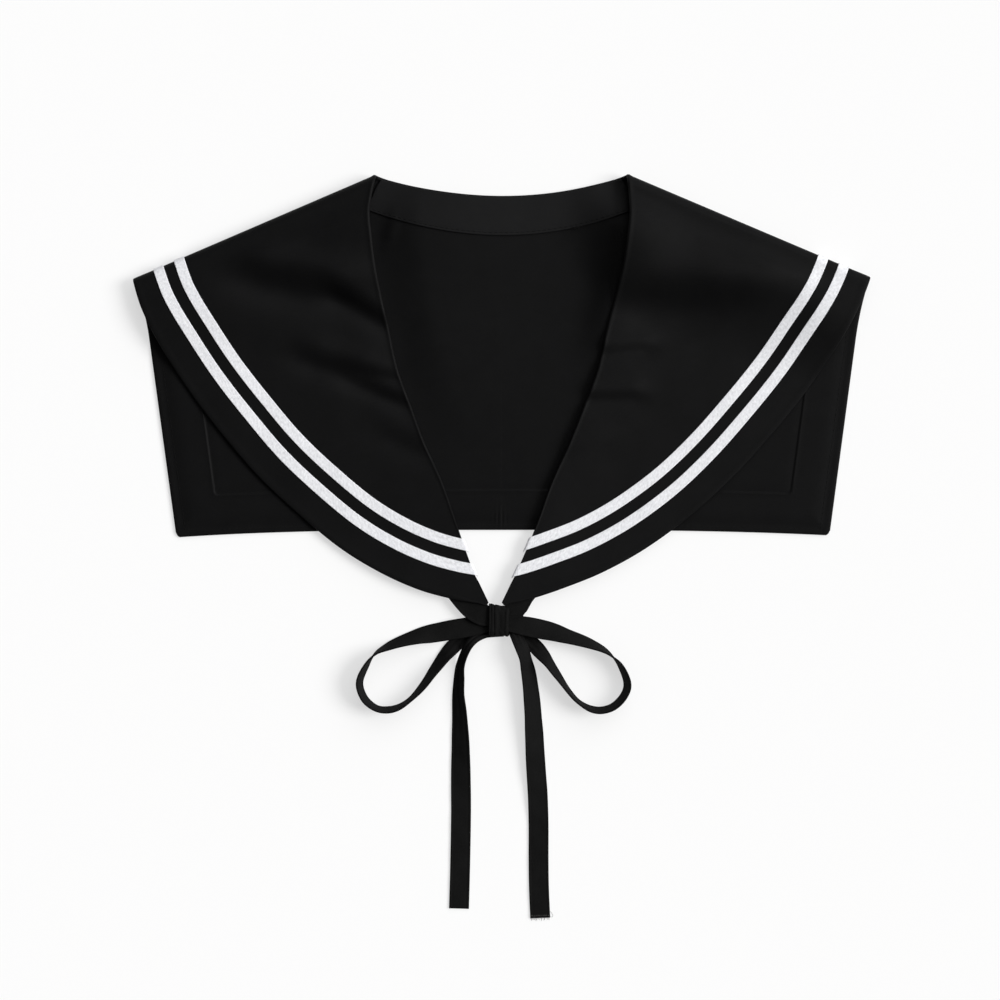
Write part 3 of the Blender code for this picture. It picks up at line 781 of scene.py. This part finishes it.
def shell(name, middle, over, under, material, uv=None, radius=EDGE_RADIUS, groove=0.0):
    """A sheet of cloth: a grid of points on its middle surface, and how thick it is over and under
    that surface there. Its edge is round, as far in as the radius or the next points allow, with a
    groove where two layers meet."""
    columns, rows = middle.shape[:2]
    normal = grid_normals(middle)
    over = np.broadcast_to(over, (columns, rows))
    under = np.broadcast_to(under, (columns, rows))
    top = middle + normal * over[..., None]
    bottom = middle - normal * under[..., None]
    loop = loop_of(columns, rows)
    c, r = loop[:, 0], loop[:, 1]
    c_in, r_in = np.clip(c, 1, columns - 2), np.clip(r, 1, rows - 2)
    rim = middle[c, r]
    tangent = unit(np.roll(rim, -1, axis=0) - np.roll(rim, 1, axis=0))
    inward = middle[c_in, r_in] - rim
    inward = inward - np.sum(inward * tangent, axis=1, keepdims=True) * tangent
    room = np.linalg.norm(inward, axis=1, keepdims=True)
    inward = inward / room
    bend = np.minimum(radius, EDGE_ROOM * room)
    ring = []
    for step in range(EDGE_STEPS + 1):
        turn = math.pi * step / EDGE_STEPS
        height = np.where(turn < QUARTER, over[c, r], under[c, r])[:, None] * math.cos(turn)
        depth = bend * (1 - math.sin(turn)) + (groove if 2 * step == EDGE_STEPS else 0.0)
        ring.append(rim + inward * depth + normal[c, r] * height)
    top[c, r] = ring[0]
    bottom[c, r] = ring[-1]
    points = np.concatenate([top.reshape(-1, 3), bottom.reshape(-1, 3)] + ring[1:-1])
    index = np.arange(columns * rows).reshape(columns, rows)
    quads = joined(index[:-1, :-1], index[1:, :-1], index[1:, 1:], index[:-1, 1:]).reshape(-1, 4)
    half = columns * rows
    bands = [index[c, r]]
    bands += [2 * half + step * len(loop) + np.arange(len(loop)) for step in range(EDGE_STEPS - 1)]
    bands.append(half + index[c, r])
    faces = [quads, (quads + half)[:, ::-1]]
    for first, last in zip(bands, bands[1:]):
        faces.append(joined(first, last, np.roll(last, -1), np.roll(first, -1)))
    piece = mesh_object(name, points, np.concatenate(faces).tolist(), material)
    if uv is not None:
        flat = uv.reshape(-1, 2)
        rim_uv = uv[c, r]
        whole = np.concatenate([flat, flat] + [rim_uv] * (EDGE_STEPS - 1)) / UV_UNIT
        layer = piece.data.uv_layers.new(name="weave")
        corners = np.empty(len(piece.data.loops), np.int32)
        piece.data.loops.foreach_get("vertex_index", corners)
        layer.data.foreach_set("uv", whole[corners].astype(np.float32).ravel())
    return piece


def add_object(name, data):
    added = bpy.data.objects.new(name, data)
    bpy.context.scene.collection.objects.link(added)
    return added


def mesh_object(name, points, faces, material):
    """A smooth mesh from points in millimetres."""
    mesh = bpy.data.meshes.new(name)
    mesh.from_pydata((points * MM).tolist(), [], list(faces))
    mesh.materials.append(material)
    mesh.shade_smooth()
    return add_object(name, mesh)


def lapel_columns(shoulder):
    """The inner and the outer end of each column of a lapel, from its point to the fold."""
    steps = (len(LAPEL) - 1) * COLUMNS_PER_STATION
    stations = np.arange(steps, 0, -1) / COLUMNS_PER_STATION
    inner, outer = shoulder.station_edges(stations)[:2]
    clear = [
        min(q - shoulder.radius(t) for t, q in (shoulder.split(a), shoulder.split(b))) > ROLL_CLEAR
        for a, b in zip(inner, outer)
    ]
    ends = list(zip(inner[clear], outer[clear]))
    for step in range(ROLL_COLUMNS, -1, -1):
        depth = 1 - math.cos(QUARTER * step / ROLL_COLUMNS)
        ends.append([edge_at_depth(shoulder, edge, depth) for edge in (0, 1)])
    return [(inner, outer, 1) for inner, outer in ends]


def edge_at_depth(shoulder, edge, depth):
    """Where a lapel's inner or outer edge is this share of the roll's radius in from the fold."""

    def beyond(station):
        t, q = shoulder.split(shoulder.station_edges(station)[edge])
        return q - depth * shoulder.radius(t)

    return shoulder.station_edges(solve(beyond, 0.0, 1.0) if depth else 0.0)[edge]


def flap_columns(shoulder):
    """The neckline end and the outer end of each column of half the back, from fold to middle."""
    side = shoulder.side
    corner = CORNER[side]
    neck_out, tip_y = NECK[side][0], SHOULDER_TIP[side][1]

    def on_neckline(out):
        return np.array((side * out, neckline_y(side, out)))

    def on_side(y):
        return np.array((side * side_out(side, y), y))

    def depth_of(point):
        t, q = shoulder.split(point)
        return q / shoulder.radius(t)

    over_corner, past_corner = NECK_OVER_CORNER
    ends = []
    for step in range(1, ROLL_COLUMNS + 1):
        depth = 1 - math.cos(QUARTER * step / ROLL_COLUMNS)
        neck_x = solve(lambda x: depth_of(on_neckline(x)) - depth, neck_out / 2, neck_out)
        side_y = solve(lambda y: depth_of(on_side(y)) - depth, corner[1], tip_y)
        ends.append((on_neckline(neck_x), on_side(side_y)))
    for step in range(1, SIDE_COLUMNS + 1):
        share = step / SIDE_COLUMNS
        outer = on_side(mix(side_y, corner[1] + CORNER_ROUND, share))
        ends.append((on_neckline(mix(neck_x, over_corner, share)), outer))
    centre = np.array((corner[0] - CORNER_ROUND, corner[1] + CORNER_ROUND))
    for step in range(1, CORNER_COLUMNS):
        turn = QUARTER * step / CORNER_COLUMNS
        outer = centre + CORNER_ROUND * np.array((math.cos(turn), -math.sin(turn)))
        outer[0] *= side
        neck_x = mix(over_corner, past_corner, step / CORNER_COLUMNS)
        ends.append((on_neckline(neck_x), outer))
    hem_outs = np.linspace(corner[0] - CORNER_ROUND, MIDDLE_REACH, HEM_COLUMNS + 1)
    for out in (*hem_outs, *np.linspace(MIDDLE_REACH, 0.0, MIDDLE_COLUMNS + 1)[1:]):
        outer = np.array((side * out, hem_y(side, out)))
        ends.append((on_neckline(mix(past_corner, 0.0, 1 - out / hem_outs[0])), outer))
    return [(inner, outer, -1) for inner, outer in ends]


def row_shares(side, inner, outer, layer, slant):
    """Where the rows of a column lie, as shares of the way from the inner to the outer edge, and
    how much closer together its edge rows are than they should be."""
    length = np.linalg.norm(outer - inner)
    if layer > 0:
        from_outer = np.array(OUTER_ROWS) / slant
    else:
        spots = np.linspace(0, 1, 400)
        line = outer + (inner - outer) * spots[:, None]
        distance = flap_edge_distance(side, line, BAND_OVER_HEM)
        from_outer = np.interp(OUTER_ROWS, distance - distance[0], spots * length)
    from_inner = np.array(INNER_ROWS)
    scale = min(1.0, EDGE_ROWS_SHARE * length / (from_outer[-1] + from_inner[-1]))
    first = from_inner * scale / length
    last = 1 - from_outer[::-1] * scale / length
    even = np.linspace(first[-1], last[0], EVEN_ROWS + 2)[1:-1]
    return np.concatenate([first, even, last]), scale


def make_collar(material):
    """The folded cloth: left lapel, left fold, back flap, right fold, right lapel."""
    middle, uv, far, near = [], [], [], []
    for side in (-1, 1):
        shoulder = SHOULDERS[side]
        ends = lapel_columns(shoulder) + flap_columns(shoulder)
        outers = np.array([outer for _, outer, _ in ends])
        courses = unit(np.gradient(outers, axis=0) + 1e-9)
        half = []
        for (inner, outer, layer), course in zip(ends, courses):
            line = unit(outer - inner)
            slant = max(abs(line[0] * course[1] - line[1] * course[0]), LEAST_SLANT)
            shares, scale = row_shares(side, inner, outer, layer, slant)
            points = mix(inner, outer, shares[:, None])
            from_outer = (1 - shares) * np.linalg.norm(outer - inner) * slant / scale
            if layer < 0:
                from_outer = flap_edge_distance(side, points, BAND_OVER_HEM)
            from_inner = shares * np.linalg.norm(outer - inner) / scale
            place = shoulder.surface(points, layer)
            half.append((place, shoulder.unfolded(points, layer), from_outer, from_inner))
        half = half if side < 0 else half[-2::-1]
        for target, values in zip((middle, uv, far, near), zip(*half)):
            target.extend(values)
    middle, uv, far, near = (np.array(values) for values in (middle, uv, far, near))
    full = relief(near, INNER_RELIEF) + relief(far, OUTER_RELIEF)
    band = BAND_STEP * step_up(far, BAND_BEGINS) + relief(far, *BAND_RELIEF)
    over = CLOTH / 2 + full
    under = CLOTH / 2 - FLAP_THIN + band + full
    return shell("collar_cloth", middle, over, under, material, uv, groove=0.18)


def tape_line(shoulder, offset, lift):
    """Points above the cloth along one half of the collar, from the lapel's inner edge to the
    middle of the hem, this far in from where the outer tape begins and this high off the cloth."""
    side = shoulder.side
    stations = (len(LAPEL) - 1) * (np.arange(TAPE_STEPS, 0, -1) / TAPE_STEPS) ** 2
    _, outer, margin = shoulder.station_edges(stations)
    tip_y, corner_y = SHOULDER_TIP[side][1], CORNER[side][1]
    heights = tip_y - (tip_y - corner_y) * (np.arange(TAPE_STEPS + 1) / TAPE_STEPS) ** 2
    flap = joined(side * side_out(side, heights), heights)
    edge = np.concatenate([shoulder.pattern(outer, 1), shoulder.pattern(flap, -1)])
    below_fold = ease((tip_y - heights) / FLAP_MARGIN_OVER)
    flap_margin = mix(TAPE_MARGIN_AT_FOLD[side], FLAP_MARGIN, below_fold)
    margins = np.concatenate([margin, flap_margin])[:, None]
    course = unit(edge[2:] - edge[:-2])
    square = joined(course[:, 1], -course[:, 0])
    inset = edge[1:-1] + square * (margins[1:-1] + offset)

    def on_cloth(spot):
        point = shoulder.seen(spot)
        x, y = point[..., 0], point[..., 1]
        above_hem = y > hem_y(side, side * x) + FLAP_MARGIN + offset
        on_lapel = (y > LAPEL[-1][1]) & (side * x > side * shoulder.inner_x(y))
        return np.where(spot[..., 1] < 0, above_hem, on_lapel)

    def roll_edge(spot):
        return shoulder.radius(spot[..., 0]) * QUARTER

    whole = cut(inset, on_cloth)
    stretches = (
        (cut(whole, lambda spot: spot[..., 1] > roll_edge(spot)), TAPE_LAPEL_COLUMNS),
        (cut(whole, lambda spot: np.abs(spot[..., 1]) <= roll_edge(spot)), TAPE_ROLL_COLUMNS),
        (cut(whole, lambda spot: spot[..., 1] < -roll_edge(spot)), TAPE_SIDE_COLUMNS),
    )
    line = []
    for stretch, count in stretches:
        spots = resample(stretch, count)
        line.extend(shoulder.lifted(spots[bool(line) :], lift))
    xs = mix(line[-1][0], 0.0, np.arange(1, TAPE_HEM_COLUMNS + 1) / TAPE_HEM_COLUMNS)
    hem = joined(xs, hem_y(side, side * xs) + FLAP_MARGIN + offset)
    beneath = shoulder.surface(hem, -1)
    beneath[:, 2] -= lift
    return np.concatenate([np.array(line), beneath])


def curled_end(shoulder, columns, lift):
    """The end of a tape turned down over the lapel's inner edge."""
    end = columns[0]
    course = unit(end[:, :2] - columns[3][:, :2])
    inner = shoulder.inner_line
    at = np.clip(np.searchsorted(inner[:, 1], end[:, 1]), 1, len(inner) - 2)
    tangent = unit(inner[at + 1] - inner[at - 1])
    outward = joined(-tangent[:, 1], tangent[:, 0]) * shoulder.side
    outward *= np.sign(np.sum(outward * course, axis=1, keepdims=True))
    square = np.sum(course * outward, axis=1)
    slide = np.sum(course * tangent, axis=1)
    curl = []
    for step in range(TAPE_CURL_COLUMNS, 0, -1):
        turn = TAPE_CURL_TURN * step / TAPE_CURL_COLUMNS
        run = lift * turn * slide / square
        flat = end[:, :2] + outward * lift * math.sin(turn) + tangent * run[:, None]
        curl.append(raised(flat, end[:, 2] - lift * (1 - math.cos(turn))))
    return np.array(curl)


def make_tape(name, offset, material, thread):
    """A tape from one lapel's inner edge round the flap to the other's, and its stitches."""
    lift = CLOTH / 2 + NEAR + TAPE / 2
    halves = {}
    for side, shoulder in SHOULDERS.items():
        lines = [tape_line(shoulder, offset + row, lift) for row in TAPE_ROWS]
        columns = np.stack(lines, axis=1)
        halves[side] = np.concatenate([curled_end(shoulder, columns, lift), columns])
    middle = np.concatenate([halves[-1], halves[1][-2::-1]])
    along = lengths_along(middle[:, len(TAPE_ROWS) // 2])
    rows = np.array(TAPE_ROWS)
    uv = joined(*np.broadcast_arrays(along[:, None], rows))
    dent = TAPE_DENT * sum(bell(rows - rows[row], TAPE_DENT_SPREAD) for row in TAPE_STITCH_ROWS)
    over = np.broadcast_to(TAPE / 2 - dent, middle.shape[:2])
    tape = shell(name, middle, over, TAPE / 2, material, uv, radius=0.3)
    normal = grid_normals(middle)
    face = middle + normal * over[..., None]
    seams = [(face[:, row], normal[:, row]) for row in TAPE_STITCH_ROWS]
    return tape, stitches(name + "_stitches", seams, TAPE_STITCH, thread)


def make_facing(material, thread):
    """The strip along the inside of the back neckline, and the stitches along its lower edge."""
    across = np.linspace(-1, 1, FACING_COLUMNS + 1)
    rows = np.array(FACING_ROWS)
    out = np.abs(across) * FACING_TOP_X
    top_y = np.where(across < 0, neckline_y(-1, out), neckline_y(1, out)) - FACING_INSET
    top = joined(across * FACING_TOP_X, top_y)
    low_x = across * FACING_LOW_X
    rise = FACING_LOW_RISE * (low_x / FACING_LOW_RISE_AT) ** 2
    low = joined(low_x, FACING_LOW_MIDDLE + rise)
    points = mix(top[:, None], low[:, None], rows[None, :, None])
    lift = CLOTH / 2 + FACING_CLEAR + NEAR + FACING / 2
    left = SHOULDERS[-1].inside_back(points, lift)
    right = SHOULDERS[1].inside_back(points, lift)
    middle = np.where(points[..., :1] > 0, right, left)
    dent = relief((rows - FACING_SEAM) * FACING_WIDTH, FACING_DENT)
    facing = shell("facing_cloth", middle, FACING / 2, FACING / 2 - dent, material, points, radius=0.35)
    normal = -grid_normals(middle)
    row = FACING_ROWS.index(FACING_SEAM)
    face = middle + normal * FACING / 2
    return facing, stitches("facing_stitches", [(face[:, row], normal[:, row])], FACING_STITCH, thread)


def ribbon_frame(rows, near_side, lift):
    """A ribbon's middle line, its way across, its normal and its width, along its rows. Near_side
    is 1 when the edge that tilts is on the left of the way along the rows and -1 on the right, and
    lift is 1 when it tilts up."""
    rows = [(*row, *(RIBBON_WIDTH, 0)[len(row) - 3 :]) for row in rows]
    places = np.linspace(0, len(rows) - 1, (len(rows) - 1) * STEPS_PER_ROW + 1)
    x, y, tilt, width, clear = smooth_rows(rows, places).T
    before = smooth_rows(rows, np.maximum(places - 0.1, 0))[:, :2]
    after = smooth_rows(rows, np.minimum(places + 0.1, len(rows) - 1))[:, :2]
    course = unit(after - before)
    angle = np.radians(tilt)
    flat = joined(-course[:, 1], course[:, 0], 0 * x) * near_side
    across = flat * np.cos(angle)[:, None] + np.array((0, 0, lift)) * np.sin(angle)[:, None]
    rise = width / 2 * np.abs(np.sin(angle)) + RIBBON_SPACE / 2 * np.abs(np.cos(angle))
    centre = joined(x, y, np.maximum(clear, 0) + rise)
    normal = unit(np.cross(np.gradient(centre, axis=0), across))
    return centre, across, normal, width


def make_ribbon(name, rows, near_side, lift, material):
    """A ribbon of cloth folded double: full at both edges, grooved inside them, and pleated along
    its length where it is gathered."""
    centre, across, normal, width = ribbon_frame(rows, near_side, lift)
    half = np.array(RIBBON_SHARES)
    shares = np.concatenate([half, [0.5], 1 - half[::-1]]) - 0.5
    along, width = lengths_along(centre)[:, None], width[:, None]
    wander = PLEAT_WANDER * np.sin(PLEAT_WANDER_RATE * along + len(name))
    pleat = np.maximum(RIBBON_WIDTH - width, 0) * PLEAT * np.cos(2 * math.pi * PLEATS * shares + wander)
    pleat = pleat * (1 - (2 * np.abs(shares)) ** 6)
    ripple = RIPPLE * np.sin(RIPPLE_RATES[0] * along + RIPPLE_RATES[1] * shares) * (width / RIBBON_WIDTH)
    middle = centre[:, None] + across[:, None] * (width * shares)[..., None]
    middle = middle + normal[:, None] * (pleat + ripple)[..., None]
    full = relief(RIBBON_WIDTH * (0.5 - np.abs(shares)), *RIBBON_RELIEF)
    uv = joined(*np.broadcast_arrays(along, RIBBON_WIDTH * shares))
    thick = np.broadcast_to(RIBBON / 2 + full, middle.shape[:2])
    return shell(name, middle, thick, thick, material, uv, radius=0.45, groove=0.12)


def knot_surface(turn, across):
    """The middle surface of the knot, a wrap round the ribbons with soft pleats along it."""
    power = 2 / KNOT_SQUARENESS
    out = np.sign(np.cos(turn)) * np.abs(np.cos(turn)) ** power
    up = np.sign(np.sin(turn)) * np.abs(np.sin(turn)) ** power
    pleat = np.zeros_like(across)
    for place, depth, spread in KNOT_PLEATS:
        pleat += depth * bell(across - place - KNOT_PLEAT_SWAY * np.sin(2 * turn + 9 * place), spread)
    crumple = sum(a * np.sin(b * turn + c * across + d) for a, b, c, d in KNOT_CRUMPLES)
    crumple = crumple - KNOT_END_DROP * np.abs(across) ** 7
    half_y = (KNOT_WIDTH - KNOT_WALL) / 2 + pleat + crumple
    half_z = (KNOT_HEIGHT - KNOT_WALL) / 2 + pleat + 0.5 * crumple
    y = KNOT_Y + out * half_y - KNOT_SKEW * across * np.maximum(out, 0)
    x = KNOT_X + across * KNOT_LENGTH / 2 + KNOT_TWIST * np.sin(turn) * np.cos(turn)
    return joined(x, y, KNOT_HEIGHT / 2 + KNOT_CLEAR + up * half_z)


def make_knot(material):
    """The ribbon wrap round the middle of the bow."""
    turns = math.pi * (-0.5 + 2 * np.arange(KNOT_SIDES + 1) / KNOT_SIDES)
    across = np.linspace(-1, 1, KNOT_ROWS)
    turn, across = np.meshgrid(turns, across, indexing="ij")
    middle = knot_surface(turn, across)
    uv = joined(middle[..., 0], middle[..., 1] + middle[..., 2])
    return shell("knot_ribbon", middle, KNOT_WALL / 2, KNOT_WALL / 2, material, uv, radius=0.45)


def tubes(name, lines, radii, material):
    """Threads: a round tube along each line of points, its ends closed."""
    points, faces = [], []
    turns = (np.arange(THREAD_SIDES) * 2 * math.pi / THREAD_SIDES)[None, :, None]
    start = 0
    for line, radius in zip(lines, radii):
        line = np.asarray(line, float)
        course = unit(np.gradient(line, axis=0))
        side = unit(np.cross(course, (0.12, 0.07, 1.0)))
        up = np.cross(side, course)
        girth = np.full(len(line), radius)
        girth[[0, -1]] *= THREAD_END
        ring = np.cos(turns) * side[:, None] + np.sin(turns) * up[:, None]
        points.append((line[:, None] + ring * girth[:, None, None]).reshape(-1, 3))
        index = start + np.arange(THREAD_SIDES * len(line)).reshape(len(line), THREAD_SIDES)
        after = np.roll(index, -1, axis=1)
        quads = joined(index[:-1], index[1:], after[1:], after[:-1])
        faces.extend(quads.reshape(-1, 4).tolist())
        faces.append(index[0].tolist())
        faces.append(index[-1][::-1].tolist())
        start += index.size
    return mesh_object(name, np.concatenate(points), faces, material)


def stitches(name, seams, size, material):
    """Thread stitches along lines on a surface: each bulges in its middle, and its ends dip in."""
    length, gap, radius = size
    rise = np.array(STITCH_HEIGHTS)[:, None] * radius
    lines = []
    for line, normals in seams:
        lengths = lengths_along(line)
        count = int(lengths[-1] // (length + gap))
        pitch = lengths[-1] / count
        for number in range(count):
            at = number * pitch + pitch / 2 + (np.array(STITCH_SHARES) - 0.5) * length
            up = unit(at_lengths(normals, lengths, at))
            lines.append(at_lengths(line, lengths, at) + up * rise)
    return tubes(name, lines, [radius] * len(lines), material)


def flap_seams():
    """Lines round both faces of the flap: in from its sides and up from its hem."""
    seams = []
    for face, rise in ((1, CLOTH / 2 - FLAP_THIN + BAND_STEP), (-1, CLOTH / 2 - SEAM_SUNK)):
        for side, shoulder in SHOULDERS.items():
            top, low = SHOULDER_TIP[side][1] - SEAM_BELOW_TIP, hem_y(side, CORNER[side][0]) + HEM_SEAM
            heights = np.linspace(top, low, SEAM_SIDE_POINTS)
            inset = SIDE_SEAM * math.hypot(1, SIDE_SLOPE[side])
            down = joined(side * (side_out(side, heights) - inset), heights)
            outs = np.linspace(side * down[-1, 0], 0, SEAM_HEM_POINTS)[1:]
            along = joined(side * outs, hem_y(side, outs) + HEM_SEAM)
            place = shoulder.surface(np.concatenate([down, along]), -1)
            place[:, 2] += face * rise
            seams.append((place, np.broadcast_to((0.0, 0.0, face), place.shape)))
    return seams


def make_tail_threads(pale, dark):
    """The right tail's end: its frayed threads, one long loose one and the stitches across it."""
    centre, across, normal, _ = ribbon_frame(TIE_TAIL_RIGHT, -1, 1)
    end, side = centre[-1], across[-1]
    course = unit(centre[-1] - centre[-4])
    up = normal[-1] * np.sign(normal[-1][2])
    chance = np.random.default_rng(7)
    steps = np.linspace(-0.25, 1, 6)[:, None]
    lines = []
    for place in np.linspace(-FRAY_OUT, FRAY_OUT, FRAY_THREADS):
        reach = chance.uniform(*FRAY_REACH)
        bend = chance.uniform(-FRAY_BEND, FRAY_BEND)
        moved = place + chance.uniform(-FRAY_MOVED, FRAY_MOVED)
        line = end + side * (moved + bend * steps**2) + course * reach * steps
        line[:, 2] = np.maximum(line[:, 2] - FRAY_SAG * steps[:, 0] ** 2, THREAD_LOWEST)
        lines.append(line)
    frayed = tubes("tail_fray", lines, [FRAY_RADIUS] * len(lines), dark)
    loose = [end + course * a - side * b + np.array((0, 0, c)) for a, b, c in LOOSE_THREAD]
    loose = smooth_rows(loose, np.linspace(0, len(loose) - 1, 30))
    loose[:, 2] = np.maximum(loose[:, 2], THREAD_LOWEST)
    bars = []
    for place in np.arange(*BAR_PLACES):
        tilt = chance.uniform(-BAR_TILT, BAR_TILT)
        from_end = BAR_FROM_END + chance.uniform(-BAR_MOVED, BAR_MOVED)
        mid = end - course * from_end + side * place + up * RIBBON * BAR_LIFT
        reach = side * BAR_REACH + course * tilt
        bars.append([mid - reach, mid + up * BAR_BULGE, mid + reach])
    radii = [LOOSE_RADIUS] + [BAR_RADIUS] * len(bars)
    return frayed, tubes("tail_stitches", [loose] + bars, radii, pale)


class Nodes:
    """A material's nodes: each call adds one and returns it."""

    def __init__(self, name):
        self.material = bpy.data.materials.new(name)
        self.material.use_nodes = True
        self.tree = self.material.node_tree
        self.shader = self.tree.nodes["Principled BSDF"]

    def add(self, kind, settings=(), values=(), links=()):
        node = self.tree.nodes.new("ShaderNode" + kind)
        for name, value in dict(settings).items():
            setattr(node, name, value)
        for name, value in dict(values).items():
            node.inputs[name].default_value = value
        for name, source in dict(links).items():
            self.tree.links.new(source, node.inputs[name])
        return node

    def set(self, **values):
        for name, value in values.items():
            self.shader.inputs[name.replace("_", " ")].default_value = value

    def link(self, source, name):
        self.tree.links.new(source, self.shader.inputs[name])

    def noise(self, place, scale, detail, roughness=0.5):
        values = {"Scale": scale, "Detail": detail, "Roughness": roughness}
        return self.add("TexNoise", {}, values, {"Vector": place}).outputs["Fac"]

    def blend(self, first, last, share):
        node = self.add("Mix", {"data_type": "FLOAT"}, {"Factor": share}, {"A": first, "B": last})
        return node.outputs["Result"]

    def colour(self, source, dark, light, places=(0.0, 1.0)):
        """The base colour, from dark to light between two places of the source's range."""
        node = self.add("ValToRGB", {}, {}, {"Fac": source})
        for stop, place, colour in zip(node.color_ramp.elements, places, (dark, light)):
            stop.position, stop.color = place, (*colour, 1)
        self.link(node.outputs["Color"], "Base Color")

    def bump(self, source, strength, depth):
        values = {"Strength": strength, "Distance": depth * MM}
        node = self.add("Bump", {}, values, {"Height": source})
        self.link(node.outputs["Normal"], "Normal")


def woven_material(name, dark, light, pitch, slope, depth, cloudy, roughness, specular, sheen):
    """Cloth of fine yarns: diagonal or straight ribs this far apart, with uneven colour."""
    nodes = Nodes(name)
    weave = nodes.add("UVMap", {"uv_map": "weave"}).outputs["UV"]
    turned = nodes.add("Mapping", {}, {"Rotation": (0, 0, math.radians(slope))}, {"Vector": weave})
    # At scale 1 the bands of the texture are 2 pi / 20 apart
    scale = 2 * math.pi / 20 / (pitch / UV_UNIT)
    ribs = nodes.add(
        "TexWave",
        {"wave_type": "BANDS", "bands_direction": "X", "wave_profile": "SIN"},
        {"Scale": scale, "Distortion": 0.4, "Detail": 1.0, "Detail Scale": 3.0},
        {"Vector": turned.outputs["Vector"]},
    )
    yarn = nodes.noise(weave, UV_UNIT / pitch / RIBS_PER_YARN, 2.0, 0.6)
    cloud = nodes.noise(weave, UV_UNIT / CLOUD_SIZE, 3.0, 0.55)
    nodes.colour(nodes.blend(yarn, cloud, cloudy), dark, light, (0.3, 0.7))
    nodes.bump(nodes.blend(ribs.outputs["Fac"], yarn, YARN_SHARE), 0.6, depth)
    nodes.set(Roughness=roughness, Specular_IOR_Level=specular, Sheen_Weight=sheen, Sheen_Roughness=0.5)
    return nodes.material


def thread_material(name, colour, roughness):
    nodes = Nodes(name)
    twist = nodes.noise(nodes.add("TexCoord").outputs["Object"], TWIST_SCALE, 2.0)
    nodes.colour(twist, [THREAD_SHADE * part for part in colour], colour)
    nodes.bump(twist, 0.4, 0.05)
    nodes.set(Roughness=roughness, Specular_IOR_Level=0.08)
    return nodes.material


def add_sun(name, azimuth, elevation, strength, spread, colour):
    """A far light from this azimuth, 0 along +X and 90 along +Y, this wide as seen from here."""
    sun = bpy.data.lights.new(name, "SUN")
    sun.energy = strength
    sun.angle = math.radians(spread)
    sun.color = colour
    light = add_object(name, sun)
    light.rotation_euler = (0, QUARTER - math.radians(elevation), math.radians(azimuth))


def make_studio():
    """A white floor, soft lights from the right and the top, even light all round and the camera."""
    scene = bpy.context.scene
    scene.view_settings.view_transform = "Standard"
    scene.world = bpy.data.worlds.new("studio")
    scene.world.use_nodes = True
    background = scene.world.node_tree.nodes["Background"]
    background.inputs["Color"].default_value = (1.0, 1.0, 1.0, 1)
    background.inputs["Strength"].default_value = WORLD
    add_sun("key light", *KEY)
    add_sun("top light", *TOP)
    nodes = Nodes("white floor")
    nodes.set(Base_Color=(FLOOR_WHITE, FLOOR_WHITE, FLOOR_WHITE, 1), Roughness=0.9, Specular_IOR_Level=0.0)
    nodes.set(Emission_Color=(1.0, 1.0, 1.0, 1), Emission_Strength=FLOOR_GLOW)
    corners = FLOOR_REACH * np.array(((-1, -1, 0), (1, -1, 0), (1, 1, 0), (-1, 1, 0)))
    floor = mesh_object("floor", corners, [(0, 1, 2, 3)], nodes.material)
    lens = bpy.data.cameras.new("camera")
    lens.lens = LENS
    lens.sensor_width = SENSOR
    scene.camera = add_object("camera", lens)
    distance = PICTURE_WIDTH * LENS / SENSOR
    scene.camera.location = (PICTURE_CENTRE[0] * MM, PICTURE_CENTRE[1] * MM, distance * MM)


def main():
    make_studio()
    black = woven_material("black twill", *BLACK_TWILL)
    white = woven_material("white tape", *WHITE_TAPE)
    ribbon = woven_material("black ribbon", *BLACK_RIBBON)
    facing_cloth = woven_material("black facing", *BLACK_FACING)
    black_thread = thread_material("black thread", (0.0055, 0.0055, 0.0055), 0.7)
    dark_thread = thread_material("dark thread", (0.004, 0.004, 0.004), 0.6)
    pale_thread = thread_material("pale thread", (0.22, 0.22, 0.21), 0.6)
    white_thread = thread_material("white thread", (0.85, 0.85, 0.86), 0.6)

    def keep(piece, node=None):
        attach(piece, "root")
        if node:
            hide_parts(node)
        return piece

    collar = keep(make_collar(black), "collar")
    topstitches = stitches("flap_topstitches", flap_seams(), FLAP_STITCH, black_thread)
    trims = [keep(topstitches)]
    for node, offset in (("outer_tape", 0.0), ("inner_tape", TAPE_WIDTH + TAPE_SPACE)):
        tape, sewn = make_tape(node + "_woven", offset, white, white_thread)
        trims.append(keep(tape, node))
        trims.append(keep(sewn))

    facing, facing_sewn = make_facing(facing_cloth, dark_thread)
    keep(facing, "neck_facing")
    tack = smooth_rows(THREAD_TACK, np.linspace(0, len(THREAD_TACK) - 1, 60))
    tack = tubes("facing_tack", [tack], [TACK_RADIUS], black_thread)
    sewn = [keep(piece) for piece in (facing_sewn, tack)]

    threads = [keep(piece) for piece in make_tail_threads(pale_thread, dark_thread)]
    for node, rows, near_side, lift, cut_width, held in (
        ("tie_lead_left", TIE_LEAD_LEFT, 1, 1, LEAD_CUT, "gathered"),
        ("tie_lead_right", TIE_LEAD_RIGHT, 1, 1, LEAD_CUT, "gathered"),
        ("bow_loop_left", BOW_LOOP_LEFT, -1, -1, RIBBON_WIDTH, "folded"),
        ("bow_loop_right", BOW_LOOP_RIGHT, 1, -1, RIBBON_WIDTH, "folded"),
        ("tie_tail_left", TIE_TAIL_LEFT, -1, -1, RIBBON_WIDTH, "laid"),
        ("tie_tail_right", TIE_TAIL_RIGHT, -1, 1, RIBBON_WIDTH, "laid"),
    ):
        piece = keep(make_ribbon(node + "_ribbon", rows, near_side, lift, ribbon), node)
        length = lengths_along(ribbon_frame(rows, near_side, lift)[0])[-1]
    knot = keep(make_knot(ribbon), "bow_knot")


main()
